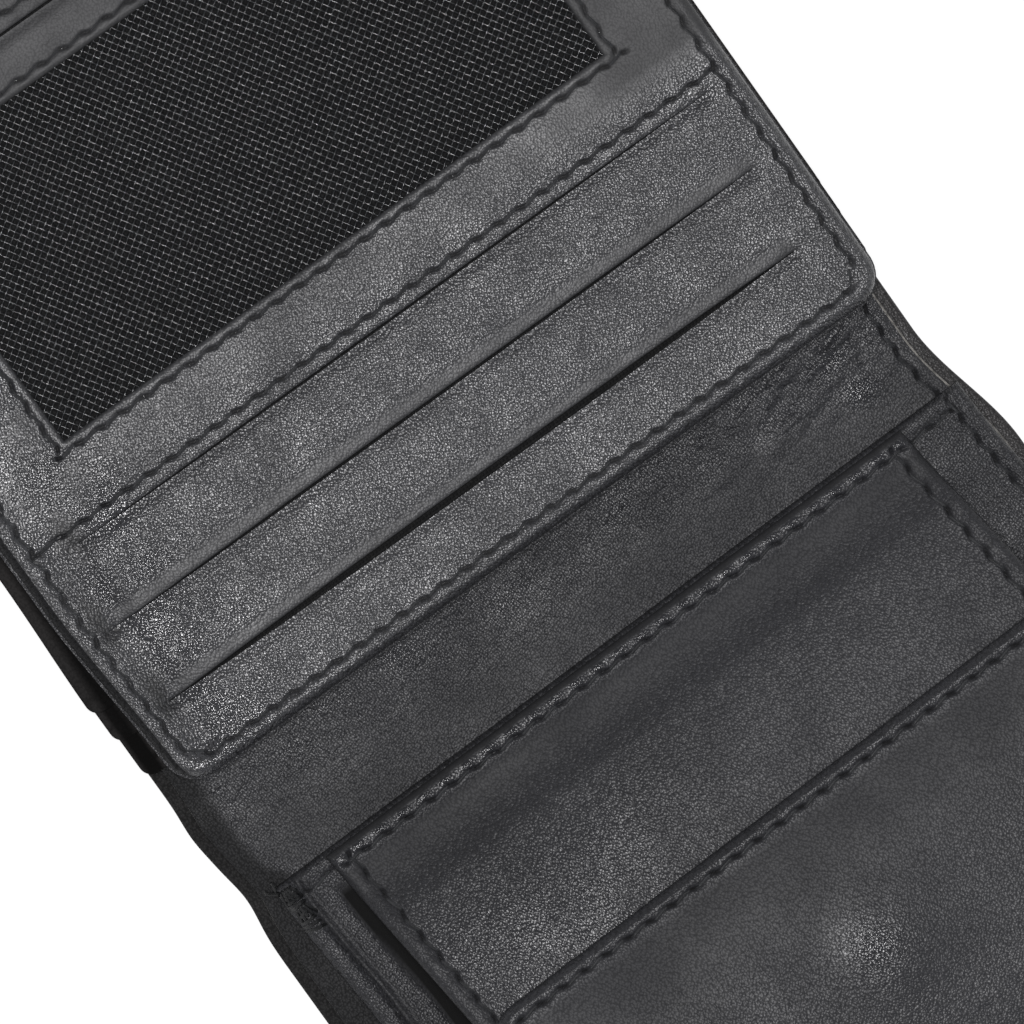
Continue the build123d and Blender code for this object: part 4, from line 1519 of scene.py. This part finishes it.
class WALLET_OT_gussets(bpy.types.Operator):
    """Builds the two folded gussets at the pouch's sides"""
    bl_idname = "wallet.gussets"
    bl_label = "Gussets"

    def execute(self, context):
        shape = PouchShape(context)
        for name, side in (("gusset_left", -1), ("gusset_right", 1)):
            left, right, near, far, _, _ = span(name)
            outer = max(abs(left), abs(right)) - 0.45
            bm = ruled_sheet(
                [share / 16 for share in range(17)], ruled_lines(near, far, 1.1, near=()))
            for vert in bm.verts:
                share, y = vert.co.x, vert.co.y
                height = max(0.35, shape.rise(y) - 0.15)
                soft_fold = 0.5 - 0.5 * math.cos(2 * math.pi * share)
                fold = 0.55 * soft_fold + 0.45 * (1 - abs(2 * share - 1))
                inward = fold * height * 0.34 + 0.1 * waves(y, share * 4, 4.0, 51.0 + side)
                low_x, y_place = base_drift(side * outer, y)
                high_x = front_drift(side * outer, y)[0]
                x = low_x + (high_x - low_x) * share - side * inward
                vert.co = (x, y_place, shape.base_top - 0.35 + (height + 0.35) * share)
            bmesh.ops.recalc_face_normals(bm, faces=bm.faces[:])
            bmesh.ops.solidify(bm, geom=bm.faces[:], thickness=0.7)
            finish_piece(
                bm, name + "_leather", ["gusset_leather"], "inner_leather", body="coin_half",
                stands_for=[name], crease=70)
        return {"FINISHED"}


class WALLET_OT_coin_flap(bpy.types.Operator):
    """Builds the coin flap, its lining, its hinge and its sewn root"""
    bl_idname = "wallet.coin_flap"
    bl_label = "Coin flap"

    def execute(self, context):
        shape = PouchShape(context)
        left, right, near, far, _, _ = span("coin_flap_outer")
        outline = Outline(left, right, near, far, radius=4.0, near_round=False)
        inset = 1.75
        seam_left, seam_right, seam_y = left + inset, right - inset, far - inset
        bevel_x, bevel_y, start = 2.2, 2.3, near + 1.5
        rows = stitch_chain(
            (seam_right, start), (seam_right, seam_y - bevel_y), (seam_right - bevel_x, seam_y),
            (seam_left + bevel_x, seam_y), (seam_left, seam_y - bevel_y), (seam_left, start))
        soft = mm(context.scene.wallet_leather.softness)
        leather = 0.9       # thickness of the flap's leather

        def lining_under(x, y):
            return shape.flap_under(y) - 0.16 * bell(shape.snap_gap(x, y), 6.5)

        def lining_top(x, y):
            return lining_under(x, y) + shape.LINING - 0.02

        def under(x, y):
            return lining_under(x, y) + shape.LINING + 0.1 * roll(outline.depth(x, y), 0.4)

        def top(x, y):
            depth = outline.depth(x, y)
            sunk, pressed = pulls(rows, x, y)
            field = ease(1.3, 3.2, depth)
            level = lining_under(x, y) + shape.LINING + leather - 0.02 - 0.20 * field
            level += (0.18 + 0.05 * waves(x, y, 2.6, 61.0)) * bell(depth - 0.95, 0.55)
            level -= 0.8 * roll(depth, 0.9)
            level += (shape.bump + 0.5) * bell(shape.snap_gap(x - 0.9, y + 0.6), 6.2)
            level += field * soft * 0.7 * waves(x, y, 15.0, 63.0)
            worn = bell(shape.snap_gap(x + 0.4, y - 0.3), 3.7)
            shine = 2.0 * worn + 0.9 * bell(depth - 1.0, 0.6) + 0.4 * ease(far - 14.0, far - 30.0, y)
            dull = 0.5 * ease(far - 18.0, far - 4.0, y) * ease(2.2, 3.2, depth)
            return level - sunk, max(pressed, dull), shine

        step = mm(context.scene.wallet_stitching.pitch) / 8 * 1.1
        lines = (
            ruled_lines(left, right, step, rows=(seam_left, seam_right), near=EDGE_LINES),
            ruled_lines(near, far, step, rows=(seam_y,), near=EDGE_LINES))
        make_panel(
            "coin_flap_leather", lines, outline, top, under, ["pouch_leather"], "inner_leather",
            drift=coin_flap_drift, rows=rows, body="coin_flap", stands_for=["coin_flap_outer"])

        gap = 0.35      # the lining ends this far inside the flap's edge
        inner = Outline(left + gap, right - gap, near, far - gap, radius=3.8, near_round=False)
        lines = ruled_lines(inner.left, inner.right, 1.4), ruled_lines(inner.near, inner.far, 1.2)
        make_panel(
            "coin_flap_lining_leather", lines, inner, lining_top, lining_under,
            ["outer_leather"], "inner_leather", drift=coin_flap_drift, body="coin_flap",
            stands_for=["coin_flap_lining"])
        self.hinge(left, right, near, top(0.0, near)[0] - 0.1, leather)
        return {"FINISHED"}

    def hinge(self, left, right, near, start_level, leather):
        """The leather carries on from the flap, down behind the pouch to its sewn root."""
        _, _, root_far, root_near, root_low, root_top = span("coin_flap_root")
        seam = root_far + 1.7
        rows = stitch_chain((left + 1.2, seam), (right - 1.2, seam))

        def top(x, y):
            sunk, pressed = pulls(rows, x, y)
            share = ease(near, root_far + 3.2, y)
            level = start_level + (root_top - start_level) * share
            return level - sunk - 0.5 * roll(y - root_far, 0.6), pressed, 0.0

        def under(x, y):
            share = ease(root_near - 1.0, near, y) * 0.9
            return root_low + (start_level - leather - root_low) * share

        lines = ruled_lines(left, right, 0.8), ruled_lines(root_far, near, 0.22, rows=(seam,))
        make_panel(
            "coin_flap_hinge_leather", lines, Outline(left, right, root_far, near), top, under,
            ["pouch_leather"], "inner_leather", drift=coin_flap_drift,
            bend=("coin_half", "coin_flap", (0, root_near - 0.4, 0), (0, near, 0)),
            stands_for=["coin_flap_root"])
        stitch_threads(
            "coin_flap_root_thread", rows, top, "inner_leather", body="coin_half",
            drift=coin_flap_drift)


class WALLET_OT_flap_hinge(bpy.types.Operator):
    """Builds the rolled leather that joins the card flap to the wallet's end"""
    bl_idname = "wallet.flap_hinge"
    bl_label = "Flap hinge"

    def execute(self, context):
        left, right, _, flap_far, flap_low, flap_high = span("flap_back")
        strip_low, strip_top = span("flap_hinge_strip")[4:]
        middle = (strip_top + flap_low) / 2
        low, high = strip_low + 0.3, flap_high + 0.1
        steps = 18
        bm = ruled_sheet(
            ruled_lines(left + 0.4, right - 0.4, 0.9), [share / steps for share in range(steps + 1)])
        for vert in bm.verts:
            x, share, _ = vert.co
            angle = math.pi * share
            radius = (middle - low) if angle < math.pi / 2 else (high - middle)
            roundness = 1.45 + 0.06 * waves(x, share * 3, 3.0, 71.0)
            y = flap_far - 0.6 + roundness * math.sin(angle) ** 0.8
            vert.co = (x, y, middle - radius * math.cos(angle))
        bmesh.ops.recalc_face_normals(bm, faces=bm.faces[:])
        bmesh.ops.solidify(bm, geom=bm.faces[:], thickness=0.55)
        finish_piece(
            bm, "flap_hinge_leather", ["hinge_leather"], "flap_leather",
            bend=("card_half", "card_flap", (0, flap_far, low + 0.4), (0, flap_far, high - 0.2)),
            crease=70)
        return {"FINISHED"}


class WALLET_OT_snap(bpy.types.Operator):
    """Gives the snap's metal pieces their finish"""
    bl_idname = "wallet.snap"
    bl_label = "Snap"

    def execute(self, context):
        for node, finish in (
                ("snap_post", "snap_steel"), ("snap_stud", "snap_nickel"),
                ("snap_socket", "snap_nickel"), ("snap_cap", "snap_steel")):
            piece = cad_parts[node]
            piece.data.materials.clear()
            piece.data.materials.append(finish_named(finish))
        return {"FINISHED"}


# ---------------------------------------------------------------- stage
class WALLET_OT_stage(bpy.types.Operator):
    """Sets up the pale floor, the soft lamps and the camera"""
    bl_idname = "wallet.stage"
    bl_label = "Stage"

    def execute(self, context):
        stage = context.scene.wallet_stage
        self.floor(stage)
        self.sky(context, stage)
        self.lamp("softbox", stage.softbox_place, (0.30, 0.30), stage.softbox_power, (1, 0.99, 1))
        self.lamp("fill", (0.9, -0.7, 0.8), (0.8, 0.8), stage.fill_power, (0.9, 0.95, 1))
        self.camera(context, stage)
        context.scene.view_settings.view_transform = "Standard"
        return {"FINISHED"}

    def floor(self, stage):
        """A wide floor whose rim sweeps up all round."""
        bm = bmesh.new()
        reach = radius = 3.0
        bmesh.ops.create_circle(bm, cap_ends=True, segments=96, radius=radius)
        rim = [edge for edge in bm.edges if edge.is_boundary]
        for step in range(1, 9):
            angle = step * math.pi / 16
            grown = bmesh.ops.extrude_edge_only(bm, edges=rim)["geom"]
            rim = [part for part in grown if isinstance(part, bmesh.types.BMEdge)]
            verts = [part for part in grown if isinstance(part, bmesh.types.BMVert)]
            wider = (reach + math.sin(angle)) / radius
            bmesh.ops.scale(bm, vec=(wider, wider, 1), verts=verts)
            for vert in verts:
                vert.co.z = 1.0 - math.cos(angle)
            radius = reach + math.sin(angle)
        bmesh.ops.recalc_face_normals(bm, faces=bm.faces[:])
        mesh = bpy.data.meshes.new("studio_floor")
        bm.to_mesh(mesh)
        bm.free()
        mesh.shade_smooth()
        made = Finish("studio_floor")
        made.put(made.shader, {
            "Base Color": (*stage.floor_colour, 1.0), "Roughness": 0.9, "Specular IOR Level": 0.1})
        path = made.add("ShaderNodeLightPath").outputs
        seen = made.maths("MAXIMUM", path["Is Camera Ray"], path["Is Glossy Ray"])
        seen = made.maths("MAXIMUM", seen, path["Is Transmission Ray"])
        share = made.maths("MULTIPLY", seen, stage.floor_clean)
        white = made.add("ShaderNodeEmission", {"Color": (1, 1, 1, 1), "Strength": 1.0})
        mixed = made.add("ShaderNodeMixShader", {
            0: share, 1: made.shader.outputs[0], 2: white.outputs[0]})
        output = made.tree.nodes["Material Output"]
        made.tree.links.new(mixed.outputs[0], output.inputs["Surface"])
        mesh.materials.append(made.material)
        floor = bpy.data.objects.new("studio_floor", mesh)
        bpy.context.scene.collection.objects.link(floor)

    def sky(self, context, stage):
        """Even light from all round."""
        world = bpy.data.worlds.new("studio")
        world.use_nodes = True
        background = world.node_tree.nodes["Background"]
        background.inputs["Color"].default_value = (0.96, 0.97, 1, 1)
        background.inputs["Strength"].default_value = stage.sky
        context.scene.world = world

    def lamp(self, name, place, size, power, colour):
        """A rectangular lamp that faces the wallet."""
        light = bpy.data.lights.new(name, "AREA")
        light.shape = "RECTANGLE"
        light.size, light.size_y = size
        light.energy = power
        light.color = colour
        lamp = bpy.data.objects.new(name, light)
        lamp.location = place
        lamp.rotation_mode = "QUATERNION"
        lamp.rotation_quaternion = Vector(place).to_track_quat("Z", "Y")
        bpy.context.scene.collection.objects.link(lamp)

    def camera(self, context, stage):
        """The camera stands nearly above the wallet, turned about its line of sight."""
        data = bpy.data.cameras.new("camera")
        data.sensor_width = 36.0
        data.lens = stage.lens
        data.clip_start, data.clip_end = 0.05, 20.0
        camera = bpy.data.objects.new("camera", data)
        back = -Vector(stage.camera_aim).normalized()
        side = Vector(stage.camera_side)
        side = (side - back * side.dot(back)).normalized()
        up = back.cross(side)
        turn = Matrix((side, up, back)).transposed()
        camera.matrix_world = Matrix.Translation(stage.camera_place) @ turn.to_4x4()
        context.scene.collection.objects.link(camera)
        context.scene.camera = camera


class WALLET_PT_panel(bpy.types.Panel):
    """Lists the wallet's pieces and sizes"""
    bl_idname = "WALLET_PT_panel"
    bl_label = "Trifold wallet"
    bl_space_type = "VIEW_3D"
    bl_region_type = "UI"
    bl_category = "Wallet"

    def draw(self, context):
        for name, group in SETTINGS.items():
            box = self.layout.box()
            box.label(text=group.__doc__.rstrip("."))
            for key in group.__annotations__:
                box.prop(getattr(context.scene, name), key)
        for step in STEPS:
            self.layout.operator(step.bl_idname)


SETTINGS = {
    "wallet_leather": WalletLeather,
    "wallet_flap": WalletFlap,
    "wallet_stitching": WalletStitching,
    "wallet_mesh": WalletMesh,
    "wallet_pouch": WalletPouch,
    "wallet_stage": WalletStage,
}
STEPS = (
    WALLET_OT_cover, WALLET_OT_linings, WALLET_OT_inner_leather, WALLET_OT_card_pockets,
    WALLET_OT_card_flap, WALLET_OT_slot_linings, WALLET_OT_mesh_window, WALLET_OT_coin_base,
    WALLET_OT_pouch_front, WALLET_OT_gussets, WALLET_OT_coin_flap, WALLET_OT_flap_hinge,
    WALLET_OT_snap, WALLET_OT_stage)


def register():
    """Registers the settings, the operators and the panel."""
    for group in SETTINGS.values():
        bpy.utils.register_class(group)
    for step in STEPS:
        bpy.utils.register_class(step)
    bpy.utils.register_class(WALLET_PT_panel)
    for name, group in SETTINGS.items():
        setattr(bpy.types.Scene, name, PointerProperty(type=group))


def unregister():
    """Takes out what register put in."""
    for name in SETTINGS:
        delattr(bpy.types.Scene, name)
    bpy.utils.unregister_class(WALLET_PT_panel)
    for step in reversed(STEPS):
        bpy.utils.unregister_class(step)
    for group in reversed(list(SETTINGS.values())):
        bpy.utils.unregister_class(group)


def main():
    """Builds every piece in order."""
    register()
    for step in STEPS:
        family, name = step.bl_idname.split(".")
        getattr(getattr(bpy.ops, family), name)()


if __name__ == "__main__":
    main()
